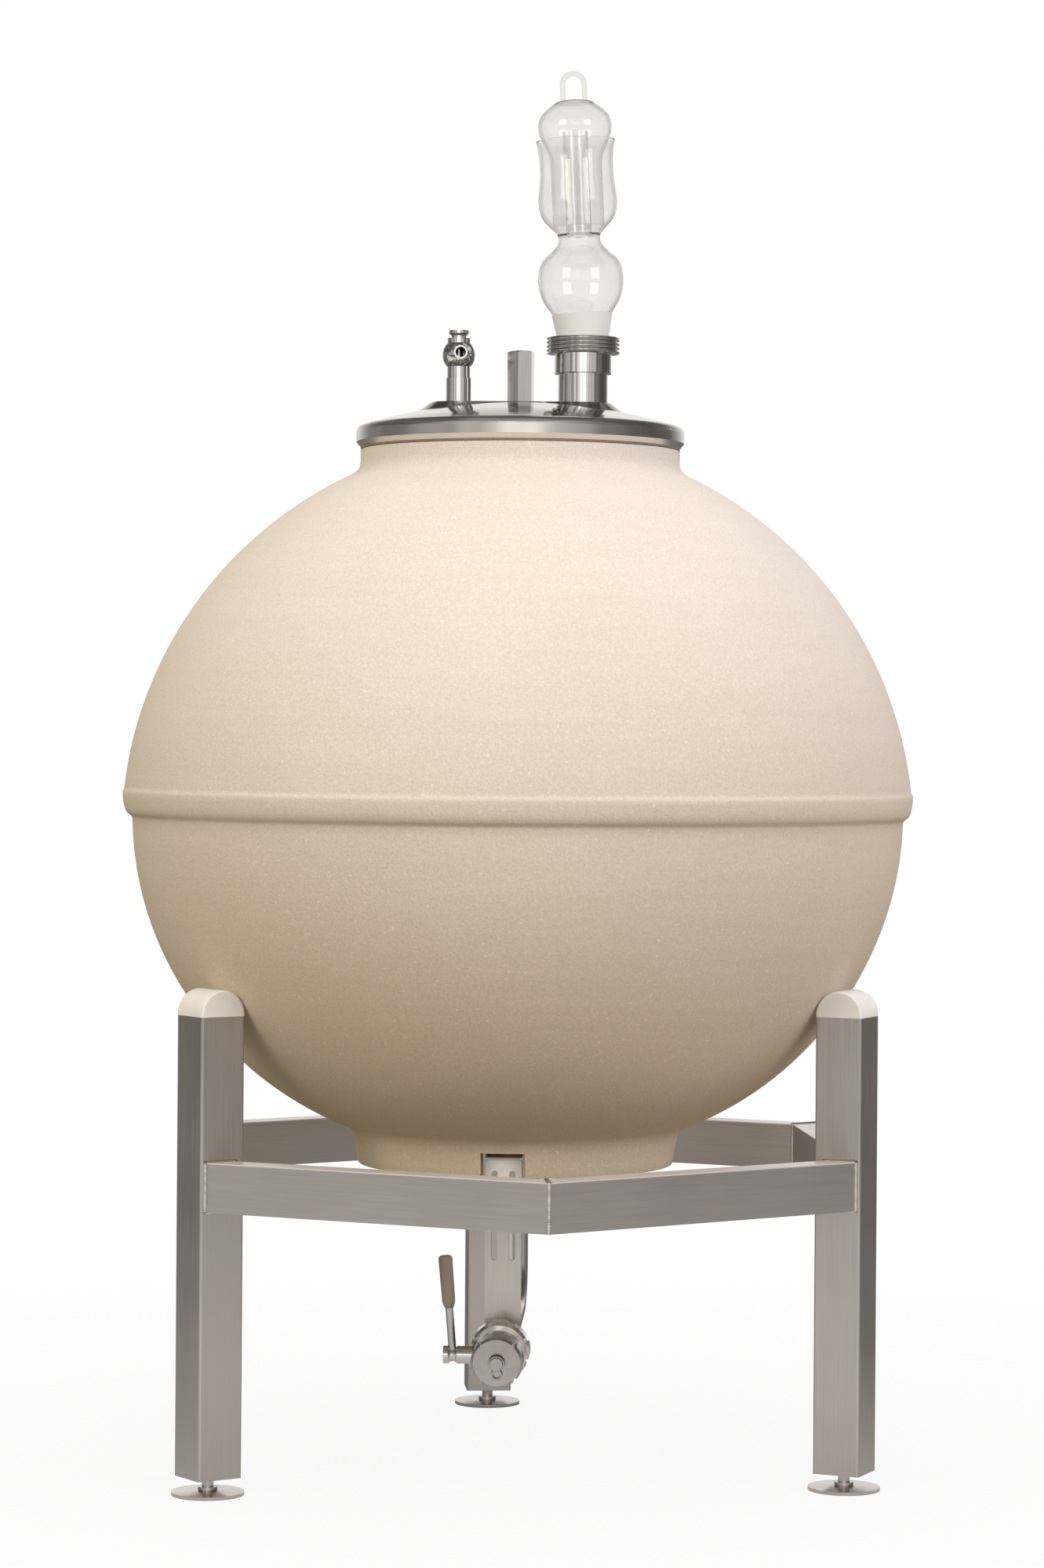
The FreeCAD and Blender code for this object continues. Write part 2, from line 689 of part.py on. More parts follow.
def clamp_nut():
    """Long hexagonal nut with a chamfered top and a blind bore as wide as its thread."""
    low = platform_z + SEAT_CLEARANCE
    high = low + NUT_LENGTH
    corner = NUT_ACROSS_FLATS / math.sqrt(3)
    body = hexagon(NUT_ACROSS_FLATS, low, high, NUT_TURN)
    envelope = turned([
        (0.0, low),
        (corner, low),
        (corner, high - NUT_CHAMFER),
        (corner - 2 * NUT_CHAMFER, high),
        (0.0, high),
    ])
    return body.common(envelope).cut(rod(NUT_BORE_R, low - 1, high - NUT_ROOF))


def tie_rod():
    """Long bolt from under the bridge up into the clamp nut, as thick as its thread's root."""
    top = platform_z + NUT_LENGTH - NUT_ROOF - TIE_ROD_SLACK
    head_z = bridge_top_z - BRIDGE_HEIGHT
    shank = rod(TIE_ROD_R, head_z - ROD_HEAD_HEIGHT / 2, top)
    return shank.fuse(hexagon(ROD_HEAD_FLATS, head_z - ROD_HEAD_HEIGHT, head_z))


def bridge_bar():
    """Flat bar across the underside of the neck, with round ends."""
    half = BRIDGE_WIDTH / 2
    low = bridge_top_z - BRIDGE_HEIGHT
    straight = BRIDGE_HALF_LENGTH - half
    bar = block(-straight, straight, -half, half, low, bridge_top_z)
    ends = rod(half, low, bridge_top_z, straight).fuse(rod(half, low, bridge_top_z, -straight))
    hole = rod(TIE_ROD_R + STUB_CLEARANCE, low - 1, bridge_top_z + 1)
    return bar.fuse(ends).removeSplitter().cut(hole)


def bridge_pads():
    """Two rubber pads between the bridge and the inside of the ball."""
    inside = Part.makeSphere(UPPER_BALL_R - WALL - BALL_SEAT_GAP, V(0, 0, UPPER_BALL_Z))
    pads = []
    for side in (-1, 1):
        pad = rod(PAD_R, bridge_top_z, neck_top_z, side * pad_x)
        pads.append(pad.common(inside))
    return Part.makeCompound(pads)


def offset_outline(points, distance):
    """Points moved square to the smooth curve through them, towards the axis where positive."""
    curve = Part.BSplineCurve()
    curve.interpolate([at(p) for p in points])
    moved = []
    for point in points:
        tangent = curve.tangent(curve.parameter(at(point)))[0]
        moved.append((point[0] - tangent.z * distance, point[1] + tangent.x * distance))
    return moved


def blown(points, low=None, high=None):
    """Closed form about the axis, from a smooth curve through the points between two heights."""
    curve = Part.BSplineCurve()
    curve.interpolate([at(p) for p in points])
    edge = curve.toShape()
    bottom = (0.0, points[0][1])
    top = (0.0, points[-1][1])
    form = spun([
        Part.LineSegment(at(bottom), at(points[0])).toShape(),
        edge,
        Part.LineSegment(at(points[-1]), at(top)).toShape(),
        Part.LineSegment(at(top), at(bottom)).toShape(),
    ])
    if low is not None:
        form = form.common(rod(3 * COLLAR_R, low, high))
    return form


def stopper():
    """Soft stopper: a plug in the nozzle, a shoulder and a cone that holds the glass."""
    form = turned([
        (0.0, -STOPPER_PLUG_LENGTH),
        (STOPPER_PLUG_R, -STOPPER_PLUG_LENGTH),
        (STOPPER_PLUG_R, 0.0),
        (STOPPER_SHOULDER_R, 0.0),
        (STOPPER_TOP_R, STOPPER_HEIGHT),
        (0.0, STOPPER_HEIGHT),
    ])
    glass = blown(offset_outline(GLASS_OUTLINE, -GLASS_SEAT_CLEARANCE))
    channel = rod(INNER_TUBE_R, -STOPPER_HEIGHT, 0)
    return lean(form.cut(glass).cut(channel))


def airlock_body():
    """Blown glass: a bulb below, a cup above, and an inner tube that joins them."""
    inner_points = offset_outline(GLASS_OUTLINE, GLASS_WALL)
    glass = blown(GLASS_OUTLINE)
    low = GLASS_OUTLINE[0][1]
    high = GLASS_OUTLINE[-1][1]
    inner_points[0] = (inner_points[0][0], low - GLASS_WALL)
    inner_points[-1] = (inner_points[-1][0], high + GLASS_WALL)
    bulb = blown(inner_points, low - GLASS_WALL, GLASS_WEB_RISE)
    cup = blown(inner_points, GLASS_WEB_RISE + GLASS_WEB, high + GLASS_WALL)
    glass = glass.cut(bulb).cut(cup).fuse(rod(INNER_TUBE_R, GLASS_WEB_RISE, INNER_TUBE_TOP))
    return lean(glass.cut(rod(INNER_TUBE_R - BELL_WALL, GLASS_WEB_RISE - GLASS_WEB, INNER_TUBE_TOP + 1)))


def bell_form(wall):
    """Bell's outer form, or the hollow in it where a wall is given."""
    points = offset_outline(BELL_OUTLINE, wall) if wall else list(BELL_OUTLINE)
    foot = (BELL_SKIRT_R - wall, -wall)
    shoulder = (BELL_SKIRT_R - wall, BELL_SKIRT_LENGTH)
    crown = (0.0, BELL_HEIGHT - wall)
    curve = Part.BSplineCurve()
    curve.interpolate(
        Points=[at(p) for p in [shoulder] + points + [crown]],
        InitialTangent=V(0, 0, 1),
        FinalTangent=V(-1, 0, 0),
    )
    return spun([
        Part.LineSegment(at((0.0, -wall)), at(foot)).toShape(),
        Part.LineSegment(at(foot), at(shoulder)).toShape(),
        curve.toShape(),
        Part.LineSegment(at(crown), at((0.0, -wall))).toShape(),
    ])


def airlock_bell():
    """Glass bell over the inner tube, with a round loop handle on its crown."""
    legs_top = LOOP_TOP - LOOP_R - LOOP_ROD_R
    loop = Part.makeTorus(LOOP_R, LOOP_ROD_R, V(0, 0, legs_top), ALONG_Y)
    loop = loop.common(block(-COLLAR_R, COLLAR_R, -COLLAR_R, COLLAR_R, legs_top, LOOP_TOP + 1))
    legs = [rod(LOOP_ROD_R, BELL_HEIGHT - 3 * LOOP_ROD_R, legs_top, side * LOOP_R) for side in (-1, 1)]
    bell = bell_form(0.0).fuse(loop).fuse(legs[0]).fuse(legs[1]).cut(bell_form(BELL_WALL))
    bell.translate(V(0, 0, BELL_LIFT))
    return lean(bell)


def drain_flange():
    """Flange on the ball's floor with a threaded stub down through the drain hole."""
    seat_z = floor_z + DRAIN_GASKET
    return turned([
        (pipe_bore_r, stub_bottom_z),
        (STUB_R, stub_bottom_z),
        (STUB_R, seat_z),
        (DRAIN_FLANGE_R, seat_z),
        (DRAIN_FLANGE_R, seat_z + DRAIN_FLANGE_HEIGHT / 2),
        (STUB_R, seat_z + DRAIN_FLANGE_HEIGHT),
        (pipe_bore_r, seat_z + DRAIN_FLANGE_HEIGHT),
    ])


def drain_ring_nut():
    """Hexagonal nut that clamps the lug and the gasket against the ball's base."""
    top = lug_top_z - HANGER_SHEET
    nut = hexagon(RING_NUT_FLATS, top - RING_NUT_HEIGHT, top)
    return nut.cut(rod(STUB_R + STUB_CLEARANCE, top - 2 * RING_NUT_HEIGHT, top + 1))


def run_line():
    """Where the down pipe ends and the run starts: end height, run start and elbow angle."""
    turn = 90 - RUN_TILT
    corner_z = RUN_MARK_Z + run_mark_r * math.tan(math.radians(RUN_TILT))
    tangent = ELBOW_R * math.tan(math.radians(turn / 2))
    run_start = tangent - run_mark_r / math.cos(math.radians(RUN_TILT))
    return corner_z + tangent, run_start, turn


def down_pipe():
    """Straight pipe from the drain flange down to the elbow."""
    return ring(PIPE_R, pipe_bore_r, run_line()[0], stub_bottom_z)


def drain_elbow():
    """Pipe bend from the down pipe to the run."""
    elbow_z, _, turn = run_line()
    bends = []
    for radius in (PIPE_R, pipe_bore_r):
        face = Part.Face(Part.Wire(Part.makeCircle(radius, V(0, 0, elbow_z), UP)))
        bends.append(face.revolve(V(0, -ELBOW_R, elbow_z), ALONG_X, -turn))
    return to_drain(bends[0].cut(bends[1]))


def drain_run():
    """Pipe from the elbow to the union, with the collar that the union nut pulls on."""
    start = run_line()[1]
    collar = UNION_BACK + UNION_WEB
    return to_run(turned([
        (pipe_bore_r, start),
        (PIPE_R, start),
        (PIPE_R, collar),
        (RUN_COLLAR_R, collar),
        (RUN_COLLAR_R, collar + RUN_COLLAR_LENGTH),
        (pipe_bore_r, collar + RUN_COLLAR_LENGTH),
    ]))


def hanger_lug():
    """Bent strip with an eye on the drain stub, running out and down behind the hanger plate."""
    back = HANGER_FRONT_R - HANGER_SHEET
    half = HANGER_WIDTH / 2
    low = lug_top_z - HANGER_SHEET
    outer = block(-half, half, -back, 0, LUG_BOTTOM_Z, lug_top_z)
    bend = [
        e for e in outer.Edges
        if abs(e.BoundBox.YMin + back) < 0.01 and abs(e.BoundBox.ZMin - lug_top_z) < 0.01
        and e.BoundBox.XLength > half
    ]
    outer = outer.makeFillet(LUG_BEND_R, bend)
    inner = block(-2 * half, 2 * half, HANGER_SHEET - back, half, LUG_BOTTOM_Z - 1, low)
    strip = outer.cut(inner)
    eye = rod(BASE_GASKET_R, low, lug_top_z)
    holes = rod(STUB_R + STUB_CLEARANCE, low - 1, lug_top_z + 1)
    lug = strip.fuse(eye).removeSplitter().cut(holes)
    for side in (-1, 1):
        hole = Part.makeCylinder(
            BOLT_R + STUB_CLEARANCE, 3 * HANGER_SHEET,
            V(side * SLOT_SPACING / 2, -back - HANGER_SHEET, BOLT_Z), ALONG_Y,
        )
        lug = lug.cut(hole)
    return to_drain(lug)


def hanger_plate():
    """Slotted strip that carries the run, with round corners."""
    half = HANGER_WIDTH / 2
    back = HANGER_FRONT_R - HANGER_SHEET
    plate = block(-half, half, -HANGER_FRONT_R, -back, HANGER_BOTTOM_Z, HANGER_TOP_Z)
    corners = [e for e in plate.Edges if e.BoundBox.XLength < 0.01 and e.BoundBox.ZLength < 0.01]
    plate = plate.makeFillet(HANGER_CORNER_R, corners)
    slot_r = SLOT_WIDTH / 2
    for side in (-1, 1):
        x = side * SLOT_SPACING / 2
        slot = block(
            x - slot_r, x + slot_r, -HANGER_FRONT_R - 1, -back + 1,
            SLOT_BOTTOM_Z + slot_r, SLOT_TOP_Z - slot_r,
        )
        for z in (SLOT_BOTTOM_Z + slot_r, SLOT_TOP_Z - slot_r):
            end = Part.makeCylinder(slot_r, HANGER_SHEET + 2, V(x, -HANGER_FRONT_R - 1, z), ALONG_Y)
            slot = slot.fuse(end)
        plate = plate.cut(slot)
    through = rod(PIPE_R + STUB_CLEARANCE, -run_mark_r / 2, 0)
    return to_drain(plate).cut(to_run(through))


def hanger_bolts():
    """Two bolts with nuts that hold the plate to the lug."""
    bolts = []
    back = HANGER_FRONT_R - 2 * HANGER_SHEET
    for side in (-1, 1):
        bolt = hexagon(BOLT_FLATS, HANGER_FRONT_R, HANGER_FRONT_R + BOLT_HEAD)
        bolt = bolt.fuse(rod(BOLT_R, back - 2 * BOLT_NUT, HANGER_FRONT_R))
        bolt = bolt.fuse(hexagon(BOLT_FLATS, back - BOLT_NUT, back))
        bolt.rotate(ORIGIN, ALONG_X, 90)
        bolt.translate(V(side * SLOT_SPACING / 2, 0, BOLT_Z))
        bolts.append(to_drain(bolt))
    return Part.makeCompound(bolts)


def union_nut():
    """Slotted round nut that draws the valve onto the run."""
    front = UNION_BACK + UNION_LENGTH
    web = UNION_BACK + UNION_WEB
    edge = UNION_SLOT_DEPTH
    nut = turned([
        (PIPE_R + STUB_CLEARANCE, UNION_BACK),
        (UNION_R - edge, UNION_BACK),
        (UNION_R, UNION_BACK + edge),
        (UNION_R, front - edge),
        (UNION_R - edge, front),
        (COUPLING_R + STUB_CLEARANCE, front),
        (COUPLING_R + STUB_CLEARANCE, web),
        (PIPE_R + STUB_CLEARANCE, web),
    ])
    slots = spaced_slots(
        UNION_SLOTS, UNION_R, UNION_SLOT_DEPTH, UNION_SLOT_WIDTH, UNION_BACK - 1, front + 1
    )
    return to_run(nut.cut(slots))


def union_seal():
    """Sealing ring between the run's collar and the valve."""
    return to_run(ring(RUN_COLLAR_R, pipe_bore_r, body_start - UNION_SEAL, body_start))


def valve_body():
    """Valve body: a threaded back end in the union, a round middle and a threaded spout."""
    body = turned([
        (pipe_bore_r, body_start),
        (COUPLING_R, body_start),
        (COUPLING_R, body_wide_start),
        (BODY_R, body_wide_start),
        (BODY_R, spout_start),
        (COUPLING_R, spout_start),
        (COUPLING_R, spout_end),
        (pipe_bore_r, spout_end),
    ])
    stem_bore = Part.makeCylinder(
        STEM_R + THREAD_CLEARANCE, BODY_R + COUPLING_R, V(-2 * BODY_R, 0, STEM_OUT), ALONG_X
    )
    pivot_bore = Part.makeCylinder(
        STEM_R + THREAD_CLEARANCE, pipe_bore_r + STEM_R + SEAT_CLEARANCE, V(0, 0, STEM_OUT), ALONG_X
    )
    return to_run(body.cut(stem_bore).cut(pivot_bore))


def valve_disc():
    """Butterfly disc across the bore, with the stem that turns it."""
    disc_r = pipe_bore_r - DISC_CLEARANCE
    disc = rod(disc_r, STEM_OUT - DISC_THICKNESS / 2, STEM_OUT + DISC_THICKNESS / 2)
    reach = HUB_START + HUB_LENGTH / 2 - HUB_RING
    stem = Part.makeCylinder(
        STEM_R, reach + pipe_bore_r + STEM_R, V(-reach, 0, STEM_OUT), ALONG_X
    )
    return to_run(disc.fuse(stem))


def lever_pivot():
    """Distance from the run's axis to the lever rod's centre, at the hub's groove."""
    return HUB_START + HUB_LENGTH - HUB_RING - HUB_GROOVE / 2


def lever_hub():
    """Hub on the stem, with a concave groove where the lever rod enters."""
    groove = lever_pivot()
    start = groove - HUB_GROOVE / 2
    end = groove + HUB_GROOVE / 2
    front = HUB_START + HUB_LENGTH
    hub = turned([
        (0.0, HUB_START),
        (HUB_R, HUB_START),
        (HUB_R, start),
        ((HUB_R - HUB_GROOVE_DEPTH, groove), (HUB_R, end)),
        (HUB_R, front),
        (0.0, front),
    ])
    reach = HUB_START + HUB_LENGTH / 2 - HUB_RING
    hub = hub.cut(rod(STEM_R + THREAD_CLEARANCE, HUB_START - 1, reach + THREAD_CLEARANCE))
    hub.rotate(ORIGIN, ALONG_Y, -90)
    hub.translate(V(0, 0, STEM_OUT))
    return to_run(hub.cut(lever_form(LEVER_ROD_R + THREAD_CLEARANCE, HUB_R / 4, LEVER_LENGTH)))


def lever_form(radius, start, end):
    """Cylinder along the lever, between two distances from the stem's axis."""
    form = rod(radius, start, end)
    form.rotate(ORIGIN, ALONG_X, -90)
    form.rotate(ORIGIN, UP, LEVER_LEAN)
    form.translate(V(-lever_pivot(), 0, STEM_OUT))
    return form


def lever_rod():
    """Round rod from the hub up into the grip."""
    return to_run(lever_form(LEVER_ROD_R, HUB_R / 4 + THREAD_CLEARANCE, LEVER_LENGTH - GRIP_R))


def lever_grip():
    """Tapered grip with a round top and a blind hole for the rod."""
    low = LEVER_LENGTH - GRIP_LENGTH
    top_start = (GRIP_R, LEVER_LENGTH - GRIP_TOP_R)
    top_end = (GRIP_R - GRIP_TOP_R, LEVER_LENGTH)
    top_middle = arc_middle((top_end[0], top_start[1]), top_start, top_end)
    mouth_middle = (GRIP_LOWER_R - 0.3 * (GRIP_LOWER_R - GRIP_MOUTH_R), low + 1.2 * GRIP_R - GRIP_MOUTH_R)
    grip = turned([
        (0.0, low),
        (GRIP_MOUTH_R, low),
        (mouth_middle, (GRIP_LOWER_R, low + GRIP_R)),
        top_start,
        (top_middle, top_end),
        (0.0, LEVER_LENGTH),
    ])
    rod_hole = lever_form(LEVER_ROD_R + THREAD_CLEARANCE, 0, LEVER_LENGTH - GRIP_R + THREAD_CLEARANCE)
    grip.rotate(ORIGIN, ALONG_X, -90)
    grip.rotate(ORIGIN, UP, LEVER_LEAN)
    grip.translate(V(-lever_pivot(), 0, STEM_OUT))
    return to_run(grip.cut(rod_hole))


def blind_cap():
    """Blind nut on the spout, with a dished face, a headed stud and spanner slots."""
    face = cap_front - CAP_FACE_DISH
    stud_end = face + CAP_STUD_LENGTH
    cavity_end = spout_end + SEAT_CLEARANCE + CAP_SEAL
    cap = turned([
        (0.0, cavity_end),
        (COUPLING_R + THREAD_CLEARANCE, cavity_end),
        (COUPLING_R + THREAD_CLEARANCE, cap_back),
        (CAP_R, cap_back),
        (CAP_R, cap_front - (CAP_R - CAP_FACE_R)),
        (CAP_FACE_R, cap_front),
        (CAP_STUD_R, face),
        (CAP_STUD_R, stud_end),
        (CAP_STUD_HEAD_R, stud_end),
        (CAP_STUD_HEAD_R, stud_end + CAP_STUD_HEAD),
        (0.0, stud_end + CAP_STUD_HEAD),
    ])
    slots = spaced_slots(CAP_SLOTS, CAP_R, CAP_SLOT_DEPTH, CAP_SLOT_WIDTH, cap_back - 1, cap_front + 1)
    return to_run(cap.cut(slots))


def cap_seal():
    """Sealing ring in the blind cap."""
    low = spout_end + SEAT_CLEARANCE
    return to_run(ring(COUPLING_R - THREAD_CLEARANCE, pipe_bore_r, low, low + CAP_SEAL))


def wire_link():
    """Wire bent to a figure of eight: a loop on the cap's stud and a smaller one below it."""
    centre = cap_front - CAP_FACE_DISH + CAP_STUD_LENGTH / 2 + CAP_FACE_DISH / 2
    tail = LINK_LOOP_R + LINK_TAIL_R
    loops = [
        Part.makeTorus(LINK_LOOP_R, LINK_WIRE_R, V(0, 0, centre)),
        Part.makeTorus(LINK_TAIL_R, LINK_WIRE_R, V(0, -tail, centre)),
    ]
    return to_run(loops[0].fuse(loops[1]))


def build_stand():
    for index, side in enumerate(("back", "right", "left")):
        azimuth = STAND_AZIMUTH + 120 * index
        save("leg_" + side, turn_to(leg(), azimuth))
        save("leg_cap_" + side, turn_to(leg_cap(), azimuth))
        save("leg_bush_" + side, turn_to(leg_bush(), azimuth))
        save("levelling_foot_" + side, turn_to(levelling_foot(), azimuth))
    for index in range(6):
        save("ring_beam_" + str(index + 1), ring_beam(index))


def build_lid():
    gasket_r = NECK_R
    gasket_z = neck_top_z + SEAL_GAP
    nozzle_tube = ring(NOZZLE_R, nozzle_bore_r, platform_z, ferrule_z)
    relief_tube = ring(RELIEF_TUBE_R, RELIEF_TUBE_R - RELIEF_TUBE_WALL, platform_z, relief_z)
    save("lid_shell", lid_shell())
    save("lid_gasket", ring(gasket_r, gasket_r - GASKET_WIDTH, gasket_z, lid_seat_z))
    save("nozzle_tube", moved_x(nozzle_tube, FITTING_X))
    save("threaded_ferrule", threaded_ferrule())
    save("relief_tube", moved_x(relief_tube, -FITTING_X))
    save("relief_body", relief_body())
    save("relief_poppet", relief_poppet())
    save("clamp_nut", clamp_nut())
    save("tie_rod", tie_rod())
    save("bridge_bar", bridge_bar())
    save("bridge_pads", bridge_pads())
    save("stopper", stopper())
    save("airlock_body", airlock_body())
    save("airlock_bell", airlock_bell())


def build_drain():
    hole_r = STUB_R + STUB_CLEARANCE
    save("drain_flange", drain_flange())
    save("drain_gasket", ring(DRAIN_FLANGE_R, hole_r, floor_z, floor_z + DRAIN_GASKET))
    save("base_gasket", ring(BASE_GASKET_R, hole_r, lug_top_z, BASE_Z))
    save("drain_ring_nut", drain_ring_nut())
    save("down_pipe", down_pipe())
    save("drain_elbow", drain_elbow())
    save("drain_run", drain_run())
    save("hanger_lug", hanger_lug())
    save("hanger_plate", hanger_plate())
    save("hanger_bolts", hanger_bolts())
    save("union_nut", union_nut())
    save("union_seal", union_seal())
    save("valve_body", valve_body())
    save("valve_disc", valve_disc())
    save("lever_hub", lever_hub())
    save("lever_rod", lever_rod())
    save("lever_grip", lever_grip())
    save("blind_cap", blind_cap())
    save("cap_seal", cap_seal())
    save("wire_link", wire_link())


os.makedirs("parts", exist_ok=True)
save("vessel", vessel())
build_stand()
build_lid()
build_drain()
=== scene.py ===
import math

import bpy
from bpy.props import FloatProperty, FloatVectorProperty, IntProperty, PointerProperty
from mathutils import Matrix, Vector, noise


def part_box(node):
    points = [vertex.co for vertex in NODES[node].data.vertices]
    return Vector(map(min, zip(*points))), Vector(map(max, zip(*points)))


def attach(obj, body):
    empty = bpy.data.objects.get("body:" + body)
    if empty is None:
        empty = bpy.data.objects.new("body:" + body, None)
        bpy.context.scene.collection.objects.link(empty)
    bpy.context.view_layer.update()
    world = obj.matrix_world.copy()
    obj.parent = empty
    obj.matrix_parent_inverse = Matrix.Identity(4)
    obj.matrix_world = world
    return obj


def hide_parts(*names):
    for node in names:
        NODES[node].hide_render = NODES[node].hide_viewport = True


bl_info = {
    "name": "Stoneware Fermenter",
    "version": (1, 0, 0),
    "blender": (4, 5, 0),
    "location": "3D View > Sidebar > Fermenter",
    "description": "Finishes a stoneware fermenting ball on its steel stand",
    "category": "Object",
}

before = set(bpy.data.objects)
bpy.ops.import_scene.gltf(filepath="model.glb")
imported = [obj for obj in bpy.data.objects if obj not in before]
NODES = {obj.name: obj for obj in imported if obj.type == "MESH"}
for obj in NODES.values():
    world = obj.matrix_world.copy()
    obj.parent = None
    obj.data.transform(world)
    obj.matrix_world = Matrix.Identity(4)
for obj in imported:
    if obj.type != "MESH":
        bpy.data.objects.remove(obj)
MM = 0.001
FULL_TURN = 2 * math.pi

# Stoneware ball, in millimetres: two arcs as (radius and height of the centre, radius), the belt between
# them as points, the wall, and how deep and where its outside is dented by hand
UPPER_BALL = (0.0, 666.0, 419.0)
LOWER_BALL = (50.3, 689.1, 357.7)
BELT = [
    (407.9, 680.0), (408.6, 681.6), (410.0, 683.2), (412.0, 684.6), (414.0, 686.4), (415.6, 689.4),
    (416.8, 693.6), (417.7, 698.6), (418.2, 703.4), (418.4, 706.8), (418.1, 708.9), (417.2, 710.4),
    (416.4, 712.6),
]
WALL = 19.0
DENT_DEPTH = 0.7
DENTED_FROM = 360.0
DENTED_TO = 1050.0
DENTED_BEYOND_R = 180.0

# Foot ring with its notch, drain hole and neck of the ball, in millimetres
FOOT_BOTTOM = 316.2
BASE_HEIGHT = 345.0
RECESS_R = 143.4
DRAIN_R = 17.4
NOTCH_WIDTH = 45.0
NOTCH_LENGTH = 80.0
NOTCH_MIDDLE_R = 160.0
NOTCH_TOP = 342.0
NECK_TOP = 1072.0
NECK_BORE_R = 148.0

# Turn of the notch and the hanger about the ball's axis, in degrees
DRAIN_TURN = -4.3

# Lower edge of the white sleeve on the hanger's strip, in millimetres
SLEEVE_BOTTOM = 315.0

# Ring of beams, in millimetres, and the azimuth of its rear leg in degrees
STAND_AZIMUTH = -4.67
BEAM_FACE = 354.7
BEAM_DEPTH = 30.0
BEAM_TOP = 338.5
BEAM_HEIGHT = 50.0
HALF_LEG = 25.0

# Drops of weld: flattening, spacing as a share of their radius, and how far their size swells
DROP_HEIGHT = 0.8
DROP_SPACING = 0.6
DROP_SWELL = 0.25

# Upper edge of the lid's rim, in millimetres
LID_RIM_TOP = 1097.0

# Clamp nut, in millimetres, and the direction of one of its corners in degrees
NUT_FLATS = 26.0
NUT_BORE_R = 8.2
NUT_ROOF = 9.0
NUT_CORNER_TURN = 18.8

# Threaded ferrule, in millimetres
FERRULE_BORE_R = 25.0
COLLAR_R = 30.35
COLLAR_HEIGHT = 21.6
THREAD_R = 39.0
THREAD_DEPTH = 2.3
THREAD_PITCH = 4.233
THREAD_ROWS = 110
MOUTH_R = 31.0
MOUTH_DEPTH = 6.0

# Marks of grinding and turning, as repeats in a metre along X, Y and Z
UPRIGHT_MARKS = (500.0, 500.0, 9.0)
LEVEL_MARKS = (11.0, 11.0, 500.0)
STRIP_MARKS = (500.0, 500.0, 11.0)
ROD_MARKS = (600.0, 600.0, 20.0)
BRIDGE_MARKS = (20.0, 700.0, 700.0)
TURNED_MARKS = (60.0, 60.0, 900.0)
LID_MARKS = (30.0, 30.0, 30.0)
PIPE_MARKS = (90.0, 90.0, 90.0)
WELD_MARKS = (400.0, 400.0, 400.0)

# Colours of the brown inside the notch, of the painted highlight on the tubes' tops, of rubber, and of the
# glass: painted shade at its edges, and its tint
FLECK = (0.90, 0.86, 0.80)
NOTCH_DARK_BROWN = (0.26, 0.18, 0.11)
NOTCH_PALE_BROWN = (0.66, 0.53, 0.38)
TOP_HIGHLIGHT_STEEL = (0.93, 0.88, 0.85)
DARK_RUBBER = (0.027, 0.025, 0.023)
BROWN_RUBBER = (0.26, 0.20, 0.16)
GLASS_EDGE_SHADE = (0.20, 0.18, 0.16)
GLASS_TINT = (0.64, 0.60, 0.55)

# Studio: what the ball gets back from the floor, the floor in the picture, the floor that steel mirrors,
# the ceiling that lights the ball, and the room that steel mirrors
BOUNCE_LEFT = (0.25, 0.21, 0.145)
BOUNCE_RIGHT = (0.42, 0.38, 0.31)
BOUNCE_FAR = (0.17, 0.14, 0.10)
FLOOR_GREY = (0.55, 0.545, 0.54)
MIRRORED_BEHIND = (0.20, 0.19, 0.18)
MIRRORED_FRONT = (1.0, 0.97, 0.93)
MIRRORED_FAR = (0.12, 0.115, 0.11)
MIRRORED_RIGHT = (0.16, 0.155, 0.15)
CEILING_LEFT = (0.67, 0.605, 0.48)
CEILING_RIGHT = (1.04, 0.995, 1.01)
ROOM_TINT = (1.0, 0.985, 0.965)
WHITE = (1.0, 1.0, 1.0)

# Floor, a hair under the feet so that they don't share a plane with it: gap in millimetres, radius in metres
FLOOR_GAP = 0.3
FLOOR_RADIUS = 40.0

# Softboxes: name, place and aim in metres, width in metres, power in watts, and colour
LAMPS = [
    ("overhead_softbox", (0.0, -0.9, 3.4), (0.0, 0.0, 0.8), 2.0, 12.0, (1.0, 0.98, 0.96)),
    ("left_softbox", (-2.4, -2.8, 2.2), (0.0, 0.0, 0.9), 1.6, 52.0, (1.0, 0.96, 0.86)),
    ("right_softbox", (2.4, -2.8, 2.2), (0.0, 0.0, 0.9), 1.6, 45.5, (1.0, 0.96, 0.985)),
]

# Camera: place in metres, roll in radians, sensor in millimetres, the rest in the picture's pixels
CAMERA_PLACE = (0.0039, -4.464, 0.7794)
CAMERA_ROLL = 0.0072
SENSOR = 36.0
FOCAL_PIXELS = 5359.0
PICTURE_HEIGHT = 2000.0
HORIZON_ROW = 926.3


class FermenterSizes(bpy.types.PropertyGroup):
    """Sizes that shape the pieces made here."""

    ball_steps: IntProperty(
        name="Ball steps", description="Faces round the stoneware ball", default=256, min=32)
    grain: FloatProperty(
        name="Grain", description="Size of the sandy grain", default=1.4 * MM, unit="LENGTH")
    weld_radius: FloatProperty(
        name="Weld radius", description="Half width of a weld", default=2.3 * MM, unit="LENGTH")


